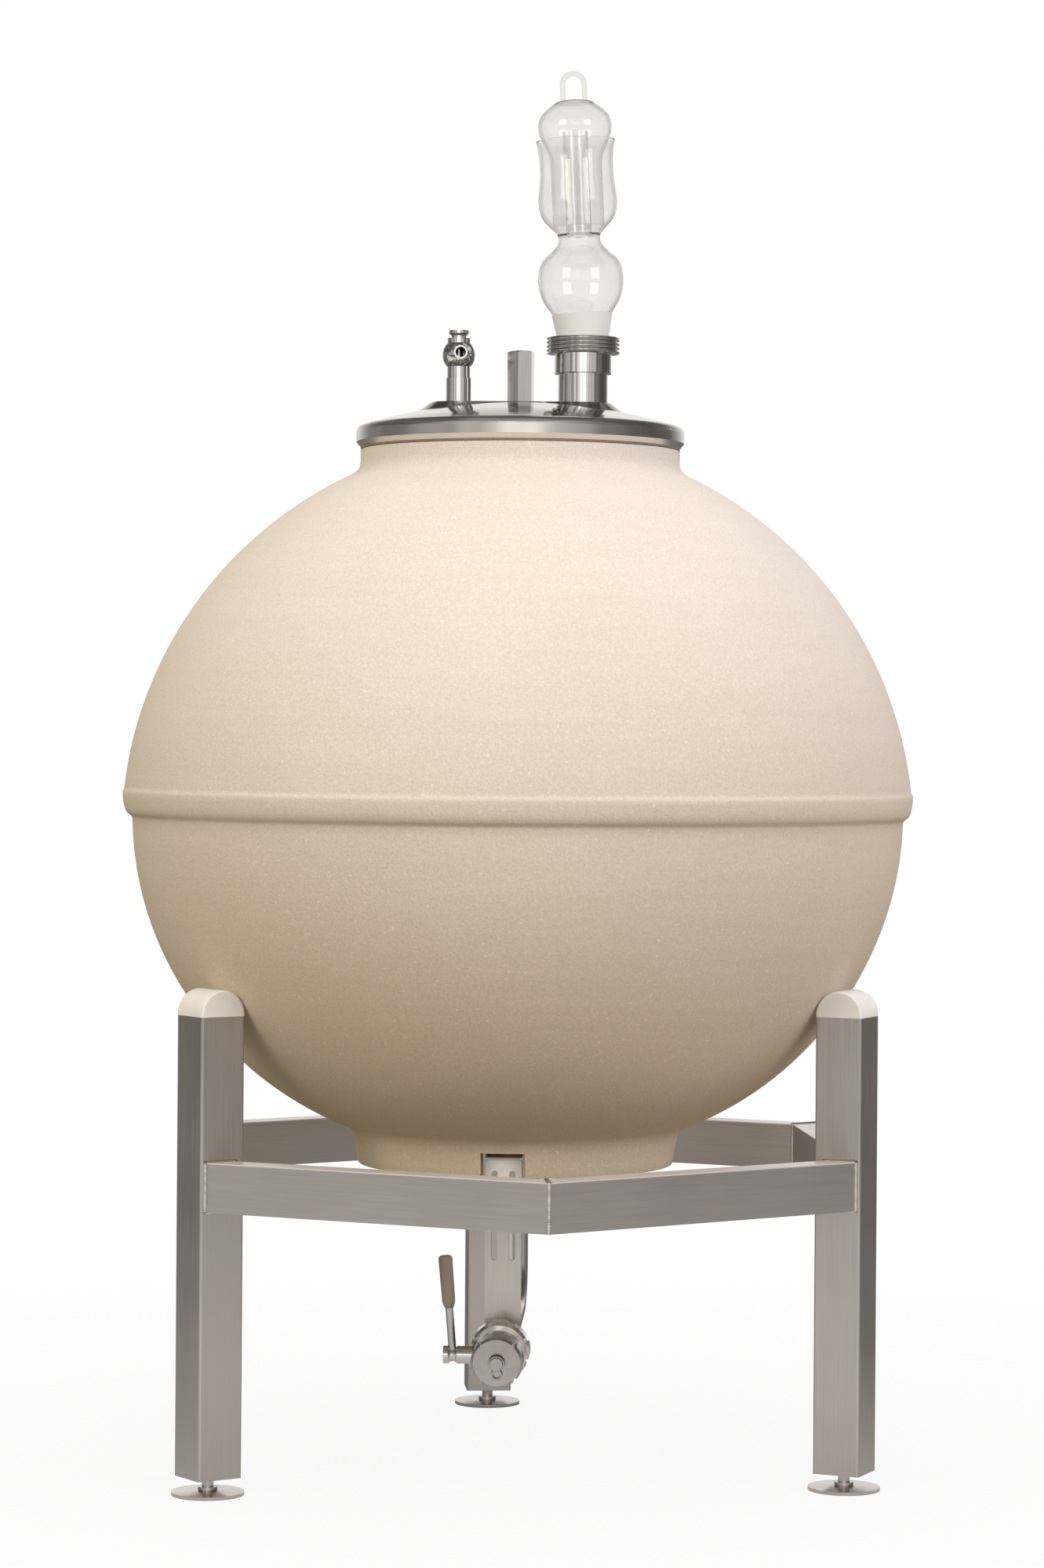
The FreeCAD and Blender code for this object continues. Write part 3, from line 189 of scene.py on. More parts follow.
class FermenterColours(bpy.types.PropertyGroup):
    """Colours of the finishes."""

    stoneware: FloatVectorProperty(
        name="Stoneware", description="Body colour near the neck", subtype="COLOR",
        default=(0.775, 0.71, 0.65))
    stoneware_low: FloatVectorProperty(
        name="Stoneware foot", description="Body colour near the foot", subtype="COLOR",
        default=(0.705, 0.615, 0.475))
    steel: FloatVectorProperty(
        name="Stand steel", description="Brushed steel", subtype="COLOR",
        default=(0.56, 0.52, 0.485))
    polished: FloatVectorProperty(
        name="Polished steel", description="Lid and fittings", subtype="COLOR",
        default=(0.70, 0.665, 0.635))
    plastic: FloatVectorProperty(
        name="Saddle plastic", description="White plastic", subtype="COLOR",
        default=(0.93, 0.915, 0.89))
    grip: FloatVectorProperty(
        name="Grip", description="Lever grip", subtype="COLOR", default=(0.36, 0.32, 0.27))


def sizes():
    return bpy.context.scene.fermenter_sizes


def colours():
    return bpy.context.scene.fermenter_colours


def clear_selection():
    if bpy.context.mode != "OBJECT":
        bpy.ops.object.mode_set(mode="OBJECT")
    bpy.ops.object.select_all(action="DESELECT")


def name_active(name):
    piece = bpy.context.active_object
    piece.name = name
    piece.data.name = name
    return piece


def make_active(piece):
    clear_selection()
    piece.select_set(True)
    bpy.context.view_layer.objects.active = piece


def settle(piece):
    """Put the piece's place into its mesh."""
    make_active(piece)
    bpy.ops.object.transform_apply(location=True, rotation=True, scale=True)


def boolean(piece, tool, operation):
    """Cut the piece by the tool, or keep what they share, and remove the tool."""
    cut = piece.modifiers.new("cut", "BOOLEAN")
    cut.operation = operation
    cut.solver = "EXACT"
    cut.object = tool
    make_active(piece)
    bpy.ops.object.modifier_apply(modifier=cut.name)
    bpy.data.objects.remove(tool)


def smooth(piece, angle=35):
    make_active(piece)
    bpy.ops.object.shade_smooth_by_angle(angle=math.radians(angle))


def dress(piece, material, body, slot, *stands_for):
    """Give a new piece its material, the body it rides on and the nodes it stands for."""
    piece.data.materials.clear()
    piece.data.materials.append(material)
    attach(piece, body)
    if stands_for:
        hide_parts(*stands_for)


def paint(material, *names):
    """Give CAD nodes a material."""
    for name in names:
        node = NODES[name]
        node.data.materials.clear()
        node.data.materials.append(material)


def spun(name, outline, steps):
    """Turn a closed outline of (radius, height) points in millimetres about the Z axis."""
    clear_selection()
    bpy.ops.mesh.primitive_plane_add(size=1)
    piece = name_active(name)
    bpy.ops.object.mode_set(mode="EDIT")
    bpy.ops.mesh.select_all(action="SELECT")
    bpy.ops.mesh.merge(type="CENTER")
    last = Vector((0, 0, 0))
    for index, (r, z) in enumerate(outline + outline[:1]):
        place = Vector((r * MM, 0, z * MM))
        if index:
            bpy.ops.mesh.extrude_region_move(TRANSFORM_OT_translate={"value": place - last})
        else:
            bpy.ops.transform.translate(value=place)
        last = place
    bpy.ops.mesh.select_all(action="SELECT")
    bpy.ops.mesh.remove_doubles(threshold=1e-6)
    bpy.ops.mesh.spin(steps=steps, angle=FULL_TURN, center=(0, 0, 0), axis=(0, 0, 1))
    bpy.ops.mesh.select_all(action="SELECT")
    bpy.ops.mesh.remove_doubles(threshold=1e-6)
    bpy.ops.mesh.normals_make_consistent(inside=False)
    bpy.ops.object.mode_set(mode="OBJECT")
    return piece


def arc(ball, start, end, count):
    """Points on a ball's outline from one polar angle to another, in degrees from the +R direction."""
    r, z, radius = ball
    points = []
    for step in range(count + 1):
        angle = math.radians(start + (end - start) * step / count)
        points.append((r + radius * math.cos(angle), z + radius * math.sin(angle)))
    return points


def new_material(name):
    material = bpy.data.materials.new(name)
    material.use_nodes = True
    shader = material.node_tree.nodes["Principled BSDF"]
    return material, shader


class Graph:
    """Short way to add and join the nodes of one material or world."""

    def __init__(self, owner):
        self.tree = owner.node_tree
        self.coords = self.tree.nodes.new("ShaderNodeTexCoord").outputs["Object"]

    def add(self, kind, settings=None, **inputs):
        """Add a node, with its settings, and with its inputs as values or as sockets to join."""
        node = self.tree.nodes.new(kind)
        for key, value in (settings or {}).items():
            setattr(node, key, value)
        for key, value in inputs.items():
            socket = node.inputs[key.replace("_", " ")]
            if isinstance(value, bpy.types.NodeSocket):
                self.tree.links.new(value, socket)
            else:
                socket.default_value = value
        return node

    def link(self, output, node, socket):
        self.tree.links.new(output, node.inputs[socket])

    def stretched(self, scale):
        """Places on the piece, so many times as far apart along each axis."""
        return self.add("ShaderNodeMapping", Vector=self.coords, Scale=scale).outputs["Vector"]

    def noise(self, scale, detail=3.0, roughness=0.5, vector=None):
        place = vector or self.coords
        node = self.add("ShaderNodeTexNoise", Vector=place, Scale=scale, Detail=detail, Roughness=roughness)
        return node.outputs["Fac"]

    def ramp(self, value, stops):
        """Colour for a value, from stops of (value, colour)."""
        node = self.add("ShaderNodeValToRGB", Fac=value)
        ramp = node.color_ramp
        while len(ramp.elements) < len(stops):
            ramp.elements.new(0.5)
        for element, (place, colour) in zip(ramp.elements, stops):
            element.position = place
            element.color = (*colour, 1.0)
        return node.outputs["Color"]

    def tones(self, value, colour, dark, pale):
        """Darker and paler shades of one colour."""
        return self.ramp(value, [(0.3, shade(colour, dark)), (0.7, shade(colour, pale))])

    def tint(self, colour, value, stops):
        """Multiply a colour by a ramp of the value."""
        return self.mix(1.0, colour, self.ramp(value, stops), "MULTIPLY")

    def span(self, value, low, high, to_low=0.0, to_high=1.0):
        """Carry a value from one range over to another, and hold it at the ends."""
        ends = {"From_Min": low, "From_Max": high, "To_Min": to_low, "To_Max": to_high}
        return self.add("ShaderNodeMapRange", Value=value, **ends).outputs["Result"]

    def axis(self, letter, vector=None):
        """One coordinate of a point or a direction."""
        return self.add("ShaderNodeSeparateXYZ", Vector=vector or self.coords).outputs[letter]

    def mix(self, factor, a, b, blend="MIX"):
        """Mix of two colours."""
        node = self.add("ShaderNodeMix", {"data_type": "RGBA", "blend_type": blend})
        for socket, value in zip((node.inputs[0], node.inputs[6], node.inputs[7]), (factor, a, b)):
            if isinstance(value, bpy.types.NodeSocket):
                self.tree.links.new(value, socket)
            elif isinstance(value, (int, float)):
                socket.default_value = value
            else:
                socket.default_value = (*value, 1.0)
        return node.outputs[2]

    def blend(self, factor, first, second):
        """Mix of two shaders."""
        node = self.add("ShaderNodeMixShader")
        self.link(factor, node, 0)
        self.link(first.outputs[0], node, 1)
        self.link(second.outputs[0], node, 2)
        return node

    def calculate(self, operation, a, b):
        node = self.add("ShaderNodeMath", {"operation": operation})
        self.link(a, node, 0)
        self.link(b, node, 1)
        return node.outputs[0]

    def either(self, a, b):
        return self.calculate("MAXIMUM", a, b)

    def times(self, a, b):
        return self.calculate("MULTIPLY", a, b)

    def plus(self, a, b):
        return self.calculate("ADD", a, b)

    def bump(self, height, distance, strength=1.0, normal=None):
        node = self.add("ShaderNodeBump", Height=height, Distance=distance, Strength=strength)
        if normal:
            self.link(normal, node, "Normal")
        return node.outputs["Normal"]


def shade(colour, factor):
    return tuple(min(1.0, c * factor) for c in colour)


def stoneware_material():
    """Unglazed sandy stoneware: fine grain, soft throwing marks, darker near the foot, brown inside the
    notch.
    """
    material, shader = new_material("sandy_stoneware")
    graph = Graph(material)
    height = graph.span(graph.axis("Z"), 0.35, 0.95)
    body = graph.mix(height, tuple(colours().stoneware_low), tuple(colours().stoneware))
    clouds = graph.noise(2.6, 4.0)
    body = graph.tint(body, clouds, [(0.3, (0.955, 0.95, 0.945)), (0.7, (1.03, 1.03, 1.035))])
    streaks = graph.noise(1.0, 3.0, 0.6, graph.stretched((3.0, 3.0, 70.0)))
    body = graph.tint(body, streaks, [(0.35, (0.985, 0.985, 0.98)), (0.65, (1.01, 1.01, 1.01))])
    grain_scale = 1.0 / sizes().grain
    grain = graph.noise(grain_scale * 0.6, 4.0, 0.6)
    body = graph.tint(body, grain, [(0.36, (0.93, 0.925, 0.905)), (0.64, (1.055, 1.055, 1.055))])
    flecks = graph.span(graph.noise(grain_scale * 0.45, 1.0), 0.67, 0.78, 0.0, 0.75)
    body = graph.mix(flecks, body, FLECK)
    # Lumpy brown colour on the faces inside the notch.
    lumps = graph.noise(160.0, 4.0, 0.7)
    notch_brown = graph.ramp(lumps, [(0.35, NOTCH_DARK_BROWN), (0.65, NOTCH_PALE_BROWN)])
    graph.link(graph.mix(notch_mask(graph), body, notch_brown), shader, "Base Color")
    shader.inputs["Roughness"].default_value = 0.85
    shader.inputs["Specular IOR Level"].default_value = 0.22
    low = graph.bump(streaks, 0.6 * MM, 0.30)
    mid = graph.bump(graph.noise(38.0, 3.0), 0.6 * MM, 0.30, low)
    graph.link(graph.bump(grain, 0.45 * MM, 0.90, mid), shader, "Normal")
    return material


def notch_mask(graph):
    """One on the faces inside the notch of the foot ring."""
    turn = (0.0, 0.0, -math.radians(DRAIN_TURN))
    turned = graph.add("ShaderNodeMapping", Vector=graph.coords, Rotation=turn).outputs["Vector"]
    half = (NOTCH_WIDTH / 2 + 0.4) * MM
    top = (NOTCH_TOP + 0.4) * MM
    step = 0.2 * MM
    right = graph.span(graph.axis("X", turned), half, half + step, 1.0, 0.0)
    left = graph.span(graph.axis("X", turned), -half - step, -half)
    below = graph.span(graph.axis("Z", turned), top, top + step, 1.0, 0.0)
    front = graph.span(graph.axis("Y", turned), -step, 0.0, 1.0, 0.0)
    return graph.times(graph.times(right, left), graph.times(below, front))


def brushed_material(name, colour, marks, roughness=0.36, spread=0.10):
    """Steel ground along one direction: fine lines, a little cloudy, with a soft sheen."""
    material, shader = new_material(name)
    graph = Graph(material)
    lines = graph.noise(1.0, 6.0, 0.7, graph.stretched(marks))
    clouds = graph.noise(9.0, 3.0)
    tone = graph.mix(0.35, lines, clouds)
    graph.link(graph.tones(tone, colour, 0.86, 1.10), shader, "Base Color")
    graph.link(graph.span(tone, 0.3, 0.7, roughness - spread, roughness + spread), shader, "Roughness")
    shader.inputs["Metallic"].default_value = 1.0
    graph.link(graph.bump(lines, 0.05 * MM, 0.5), shader, "Normal")
    return material


def beam_material(colour):
    """Ring tube: brushed along its length, with a painted highlight that makes its top paler."""
    material = brushed_material("brushed_level", colour, LEVEL_MARKS)
    graph = Graph(material)
    shader = graph.tree.nodes["Principled BSDF"]
    face = shader.inputs["Base Color"].links[0].from_socket
    # Painted highlight: the top face is painted pale and less metallic, as if it caught the light.
    top = graph.span(graph.axis("Z"), (BEAM_TOP - 1.6) * MM, (BEAM_TOP - 0.4) * MM)
    graph.link(graph.mix(top, face, TOP_HIGHLIGHT_STEEL), shader, "Base Color")
    graph.link(graph.span(top, 0.0, 1.0, 1.0, 0.45), shader, "Metallic")
    return material


def polished_material(name, colour, roughness=0.12, marks=TURNED_MARKS):
    """Turned and polished steel, with faint lines round the axis."""
    material, shader = new_material(name)
    graph = Graph(material)
    lines = graph.noise(1.0, 3.0, 0.5, graph.stretched(marks))
    smears = graph.noise(14.0, 2.0)
    tone = graph.mix(0.5, lines, smears)
    graph.link(graph.tones(tone, colour, 0.94, 1.05), shader, "Base Color")
    graph.link(graph.span(tone, 0.3, 0.7, roughness * 0.7, roughness * 1.4), shader, "Roughness")
    shader.inputs["Metallic"].default_value = 1.0
    graph.link(graph.bump(lines, 0.02 * MM, 0.3), shader, "Normal")
    return material


def plastic_material(name, colour, roughness, soft=0.0):
    """Machined plastic with a faint uneven skin."""
    material, shader = new_material(name)
    graph = Graph(material)
    skin = graph.noise(60.0, 3.0)
    graph.link(graph.tones(skin, colour, 0.97, 1.02), shader, "Base Color")
    shader.inputs["Roughness"].default_value = roughness
    shader.inputs["Subsurface Weight"].default_value = soft
    shader.inputs["Subsurface Radius"].default_value = (0.01, 0.009, 0.008)
    graph.link(graph.bump(graph.noise(700.0, 2.0), 0.05 * MM, 0.4), shader, "Normal")
    return material


def rubber_material(name, colour):
    """Moulded rubber with a dull, faintly mottled skin."""
    material, shader = new_material(name)
    graph = Graph(material)
    skin = graph.noise(400.0, 3.0)
    graph.link(graph.tones(skin, colour, 0.8, 1.2), shader, "Base Color")
    shader.inputs["Roughness"].default_value = 0.6
    return material


def lid_material():
    """Sheet polished like a mirror on top and ground dull round its rim."""
    material = polished_material("polished_lid", tuple(colours().polished), 0.09, LID_MARKS)
    graph = Graph(material)
    shader = graph.tree.nodes["Principled BSDF"]
    face = shader.inputs["Roughness"].links[0].from_socket
    rim = graph.span(graph.axis("Z"), LID_RIM_TOP * MM, (LID_RIM_TOP - 3.0) * MM, 0.0, 0.16)
    graph.link(graph.plus(face, rim), shader, "Roughness")
    return material


def hanger_material():
    """Brushed strip with a white sleeve over its top end."""
    material = brushed_material("hanger_strip", tuple(colours().steel), STRIP_MARKS)
    graph = Graph(material)
    steel = graph.tree.nodes["Principled BSDF"]
    sleeve = graph.add("ShaderNodeBsdfPrincipled", Roughness=0.5)
    skin = graph.noise(120.0, 3.0)
    white = tuple(colours().plastic)
    graph.link(graph.tones(skin, white, 0.92, 1.0), sleeve, "Base Color")
    covered = graph.span(graph.axis("Z"), (SLEEVE_BOTTOM - 0.5) * MM, (SLEEVE_BOTTOM + 0.5) * MM)
    both = graph.blend(covered, steel, sleeve)
    graph.link(both.outputs[0], graph.tree.nodes["Material Output"], "Surface")
    return material


def silicone_material():
    """Cloudy white silicone that lets some light through."""
    material, shader = new_material("cloudy_silicone")
    graph = Graph(material)
    clouds = graph.noise(55.0, 3.0)
    milky = graph.ramp(clouds, [(0.3, (0.93, 0.925, 0.915)), (0.7, (0.97, 0.965, 0.955))])
    graph.link(milky, shader, "Base Color")
    shader.inputs["Roughness"].default_value = 0.4
    shader.inputs["Subsurface Weight"].default_value = 0.5
    shader.inputs["Subsurface Radius"].default_value = (0.004, 0.004, 0.004)
    shader.inputs["IOR"].default_value = 1.41
    graph.link(graph.bump(graph.noise(500.0, 2.0), 0.05 * MM, 0.4), shader, "Normal")
    return material


def glass_material():
    """Clear blown glass: slight ripples, a faint tint through its body, and painted shade that darkens the
    wall where it is seen edge on.
    """
    material, shader = new_material("clear_blown_glass")
    graph = Graph(material)
    shader.inputs["Roughness"].default_value = 0.0
    shader.inputs["IOR"].default_value = 1.47
    shader.inputs["Transmission Weight"].default_value = 1.0
    graph.link(graph.bump(graph.noise(24.0, 2.0), 0.4 * MM, 0.2), shader, "Normal")
    # Painted shade: the base colour turns dark grey where the wall is seen edge on.
    edge = graph.add("ShaderNodeLayerWeight", Blend=0.5)
    rim = [(0.0, WHITE), (0.62, (0.98, 0.975, 0.97)), (1.0, GLASS_EDGE_SHADE)]
    graph.link(graph.ramp(edge.outputs["Facing"], rim), shader, "Base Color")
    tint = graph.add("ShaderNodeVolumeAbsorption", Color=(*GLASS_TINT, 1.0), Density=95.0)
    graph.link(tint.outputs[0], graph.tree.nodes["Material Output"], "Volume")
    return material


def ball_outline():
    """Section of the stoneware ball, outside then inside, in millimetres."""
    lower_x, lower_z, lower_r = LOWER_BALL
    foot = FOOT_BOTTOM
    rim = NECK_TOP
    outline = [(RECESS_R, BASE_HEIGHT), (RECESS_R, foot + 1.5), (RECESS_R + 1.6, foot)]
    outline += [(164.4, foot), (166.0, foot + 0.5), (166.8, foot + 1.8), (168.4, 327.0), (170.6, 340.0)]
    outline += [(171.9, 346.0), (173.9, 350.6), (177.5, 354.6), (182.5, 357.9)]
    start = math.degrees(math.acos((188.5 - lower_x) / lower_r))
    end = math.degrees(math.asin((lower_z - BELT[0][1]) / lower_r))
    outline += arc(LOWER_BALL, -start, -end, 44)[:-1]
    outline += BELT
    start = math.degrees(math.asin((BELT[-1][1] + 1.5 - UPPER_BALL[1]) / UPPER_BALL[2]))
    end = math.degrees(math.acos(186.5 / UPPER_BALL[2]))
    outline += arc(UPPER_BALL, start, end, 44)
    outline += [(181.2, 1043.4), (176.6, 1046.0), (172.6, 1049.4), (170.3, 1053.4), (169.4, 1058.0)]
    outline += [(169.4, 1064.0), (169.4, rim - 1.8), (168.8, rim - 0.5), (167.5, rim)]
    outline += [(NECK_BORE_R + 2.0, rim), (NECK_BORE_R, rim - 2.0), (NECK_BORE_R, 1040.0)]
    upper_inside = (*UPPER_BALL[:2], UPPER_BALL[2] - WALL)
    lower_inside = (lower_x, lower_z, lower_r - WALL)
    outline += arc(upper_inside, math.degrees(math.acos((NECK_BORE_R + 1.0) / upper_inside[2])), 7.0, 24)
    outline += arc(lower_inside, 0.0, -72.5, 24)
    outline += [(DRAIN_R, 366.0), (DRAIN_R, BASE_HEIGHT)]
    return outline


class FERMENTER_OT_ball(bpy.types.Operator):
    """Stoneware ball with its belt, neck and foot ring"""

    bl_idname = "fermenter.ball"
    bl_label = "Stoneware ball"

    def execute(self, context):
        ball = spun("stoneware_ball", ball_outline(), sizes().ball_steps)
        for vertex in ball.data.vertices:
            place = vertex.co
            r = math.hypot(place.x, place.y)
            if DENTED_FROM < place.z / MM < DENTED_TO and r / MM > DENTED_BEYOND_R:
                dent = DENT_DEPTH * MM * min(0.0, noise.noise(place * 7.0) - 0.6)
                vertex.co += Vector((place.x, place.y, 0)).normalized() * dent
        self.cut_notch(ball)
        smooth(ball, 40)
        dress(ball, stoneware_material(), "stand", "stoneware", "vessel")
        return {"FINISHED"}

    def cut_notch(self, ball):
        """Square recess in the foot ring where the hanger passes."""
        turn = math.radians(DRAIN_TURN)
        low = (FOOT_BOTTOM - 10.0) * MM
        high = NOTCH_TOP * MM
        middle = Matrix.Rotation(turn, 4, "Z") @ Vector((0, -NOTCH_MIDDLE_R * MM, (low + high) / 2))
        clear_selection()
        bpy.ops.mesh.primitive_cube_add(size=1, location=middle, rotation=(0, 0, turn))
        tool = name_active("notch_tool")
        tool.scale = (NOTCH_WIDTH * MM, NOTCH_LENGTH * MM, high - low)
        settle(tool)
        boolean(ball, tool, "DIFFERENCE")


class FERMENTER_OT_stand(bpy.types.Operator):
    """Brushed legs and ring"""

    bl_idname = "fermenter.stand"
    bl_label = "Steel stand"

    def execute(self, context):
        steel = tuple(colours().steel)
        upright = brushed_material("brushed_upright", steel, UPRIGHT_MARKS)
        # Painted shade: the ring tubes take the stand's steel a tenth darker than the legs.
        level = beam_material(shade(steel, 0.90))
        plain = polished_material("turned_steel", shade(steel, 1.05), 0.20)
        saddle = plastic_material("white_saddle", tuple(colours().plastic), 0.42, 0.25)
        for side in ("back", "right", "left"):
            paint(upright, "leg_" + side)
            paint(plain, "leg_bush_" + side, "levelling_foot_" + side)
            paint(saddle, "leg_cap_" + side)
        for index in range(6):
            paint(level, "ring_beam_" + str(index + 1))
        return {"FINISHED"}


def beam_place(azimuth, x, y, z):
    """Point given in a beam's own plan, with Y out through its outer face, in metres."""
    turn = Matrix.Rotation(-math.radians(azimuth), 4, "Z")
    return turn @ Vector((x * MM, y * MM, z * MM))


def weld_lines():
    """Runs of weld: round each beam's end on its leg, and up and over each free corner."""
    low = BEAM_TOP - BEAM_HEIGHT
    faces = (BEAM_FACE, BEAM_FACE - BEAM_DEPTH)
    sine = math.sin(math.radians(30))
    cosine = math.cos(math.radians(30))
    lines = []
    for leg in range(3):
        for side in (-1, 1):
            azimuth = STAND_AZIMUTH + 120 * leg + 30 * side
            outer, inner = [(side * (HALF_LEG - y * sine) / cosine, y) for y in faces]
            corners = [(*inner, low), (*outer, low), (*outer, BEAM_TOP), (*inner, BEAM_TOP)]
            for start, end in zip(corners, corners[1:] + corners[:1]):
                lines.append((beam_place(azimuth, *start), beam_place(azimuth, *end)))
        corner = STAND_AZIMUTH + 120 * leg + 60
        outer, inner = [y / cosine for y in faces]
        for r in (outer, inner):
            lines.append((beam_place(corner, 0, r, low + 1.5), beam_place(corner, 0, r, BEAM_TOP - 0.5)))
        lines.append((beam_place(corner, 0, outer, BEAM_TOP), beam_place(corner, 0, inner, BEAM_TOP)))
    return lines


class FERMENTER_OT_welds(bpy.types.Operator):
    """Rippled weld beads of the ring"""

    bl_idname = "fermenter.welds"
    bl_label = "Weld beads"

    def execute(self, context):
        radius = sizes().weld_radius
        clear_selection()
        bpy.ops.mesh.primitive_uv_sphere_add(segments=10, ring_count=6, radius=radius)
        drop = name_active("weld_beads")
        bpy.ops.object.mode_set(mode="EDIT")
        bpy.ops.mesh.select_all(action="SELECT")
        bpy.ops.transform.resize(value=(1.0, 1.0, DROP_HEIGHT))
        bpy.ops.object.mode_set(mode="OBJECT")
        copies = []
        for start, end in weld_lines():
            count = max(2, int((end - start).length / (DROP_SPACING * radius)))
            for step in range(count + 1):
                copies.append(self.add_drop(drop, start.lerp(end, step / count)))
        clear_selection()
        for piece in (*copies, drop):
            piece.select_set(True)
        bpy.context.view_layer.objects.active = drop
        drop.location = copies[0].location
        bpy.ops.object.join()
        settle(drop)
        smooth(drop, 80)
        pale = shade(tuple(colours().steel), 1.35)
        metal = polished_material("weld_metal", pale, 0.30, WELD_MARKS)
        dress(drop, metal, "stand", "stand_steel")
        return {"FINISHED"}

    def add_drop(self, drop, place):
        """One more drop of weld, a little larger or smaller than its neighbours."""
        copy = bpy.data.objects.new("drop", drop.data.copy())
        bpy.context.collection.objects.link(copy)
        swell = 1.0 + DROP_SWELL * noise.noise(place * 150.0)
        copy.location = place
        copy.scale = (swell, swell, swell)
        return copy


class FERMENTER_OT_lid(bpy.types.Operator):
    """Polished lid with its fittings"""

    bl_idname = "fermenter.lid"
    bl_label = "Lid and fittings"

    def execute(self, context):
        polished = tuple(colours().polished)
        paint(lid_material(), "lid_shell")
        fittings = polished_material("polished_fittings", polished, 0.11)
        paint(fittings, "nozzle_tube", "relief_tube", "relief_body", "relief_poppet")
        paint(brushed_material("rod_steel", polished, ROD_MARKS, 0.30, 0.06), "tie_rod")
        paint(brushed_material("bridge_steel", tuple(colours().steel), BRIDGE_MARKS), "bridge_bar")
        dark = rubber_material("dark_rubber", DARK_RUBBER)
        paint(dark, "bridge_pads", "drain_gasket", "base_gasket", "union_seal", "cap_seal")
        paint(rubber_material("brown_rubber", BROWN_RUBBER), "lid_gasket")
        return {"FINISHED"}


class FERMENTER_OT_nut(bpy.types.Operator):
    """Long hexagonal clamp nut with both ends chamfered"""

    bl_idname = "fermenter.nut"
    bl_label = "Clamp nut"

    def execute(self, context):
        low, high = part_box("clamp_nut")
        bottom, top = low.z / MM, high.z / MM
        corner = NUT_FLATS / math.sqrt(3)
        roof = top - NUT_ROOF
        outline = [(0.0, roof), (NUT_BORE_R, roof), (NUT_BORE_R, bottom), (corner - 2.2, bottom)]
        outline += [(corner, bottom + 1.6), (corner + 0.1, bottom + 1.8), (corner + 0.1, top - 1.8)]
        outline += [(corner, top - 1.6), (corner - 2.6, top), (0.0, top)]
        nut = spun("clamp_nut_turned", outline, 96)
        clear_selection()
        bpy.ops.mesh.primitive_cylinder_add(
            vertices=6, radius=corner * MM, depth=0.1, location=(0, 0, (low.z + high.z) / 2),
            rotation=(0, 0, math.radians(NUT_CORNER_TURN + 30)))
        tool = name_active("hexagon_tool")
        settle(tool)
        boolean(nut, tool, "INTERSECT")
        smooth(nut, 20)
        bright = shade(tuple(colours().polished), 1.15)
        steel = brushed_material("clamp_steel", bright, ROD_MARKS, 0.18, 0.05)
        dress(nut, steel, "clamp_nut", "fitting_steel", "clamp_nut")
        return {"FINISHED"}


class FERMENTER_OT_ferrule(bpy.types.Operator):
    """Collar with a round thread round the nozzle's mouth"""

    bl_idname = "fermenter.ferrule"
    bl_label = "Threaded ferrule"

    def execute(self, context):
        low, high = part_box("threaded_ferrule")
        middle = (low + high) / 2
        bottom, top = low.z / MM, high.z / MM
        shelf = bottom + COLLAR_HEIGHT
        thread_low = shelf + 0.4
        thread_top = top - 0.4
        outline = [(FERRULE_BORE_R, bottom), (COLLAR_R - 0.5, bottom), (COLLAR_R, bottom + 0.5)]
        outline += [(COLLAR_R, shelf - 0.6), (COLLAR_R + 0.3, shelf - 0.1), (COLLAR_R + 0.9, shelf)]
        outline += [(THREAD_R - 0.5, shelf)]
        for row in range(THREAD_ROWS + 1):
            outline.append((THREAD_R, thread_low + (thread_top - thread_low) * row / THREAD_ROWS))
        outline += [(THREAD_R - 0.5, top), (MOUTH_R + 0.4, top), (MOUTH_R, top - 0.4)]
        outline += [(MOUTH_R, top - MOUTH_DEPTH), (FERRULE_BORE_R, top - MOUTH_DEPTH)]
        ferrule = spun("threaded_ferrule_turned", outline, 144)
        for vertex in ferrule.data.vertices:
            place = vertex.co
            r = math.hypot(place.x, place.y)
            if r > (THREAD_R - 0.1) * MM:
                turn = math.atan2(place.y, place.x) / FULL_TURN
                wave = 0.5 - 0.5 * math.cos(FULL_TURN * (place.z / MM / THREAD_PITCH - turn))
                share = 1 - THREAD_DEPTH * MM * wave / r
                vertex.co = Vector((place.x * share, place.y * share, place.z))
            vertex.co.x += middle.x
        smooth(ferrule, 28)
        steel = polished_material("polished_thread", tuple(colours().polished), 0.09)
        dress(ferrule, steel, "lid", "fitting_steel", "threaded_ferrule")
        return {"FINISHED"}


class FERMENTER_OT_airlock(bpy.types.Operator):
    """Stopper, glass airlock and bell"""

    bl_idname = "fermenter.airlock"
    bl_label = "Airlock"

    def execute(self, context):
        paint(silicone_material(), "stopper")
        paint(glass_material(), "airlock_body", "airlock_bell")
        return {"FINISHED"}


class FERMENTER_OT_drain(bpy.types.Operator):
    """Drain pipe, hanger, valve, lever and blind cap"""

    bl_idname = "fermenter.drain"
    bl_label = "Drain group"

    def execute(self, context):
        polished = tuple(colours().polished)
        pipe = polished_material("pipe_steel", shade(polished, 0.97), 0.22, PIPE_MARKS)
        paint(pipe, "drain_flange", "drain_ring_nut", "down_pipe", "drain_elbow", "drain_run")
        paint(pipe, "hanger_bolts", "union_nut", "valve_body", "valve_disc", "lever_hub")
        paint(polished_material("wire_steel", shade(polished, 0.72), 0.28), "lever_rod", "wire_link")
        paint(brushed_material("cap_steel", shade(polished, 0.66), PIPE_MARKS, 0.28, 0.08), "blind_cap")
        paint(brushed_material("hanger_steel", tuple(colours().steel), STRIP_MARKS), "hanger_lug")
        paint(hanger_material(), "hanger_plate")
        paint(plastic_material("grey_grip", tuple(colours().grip), 0.36), "lever_grip")
        return {"FINISHED"}


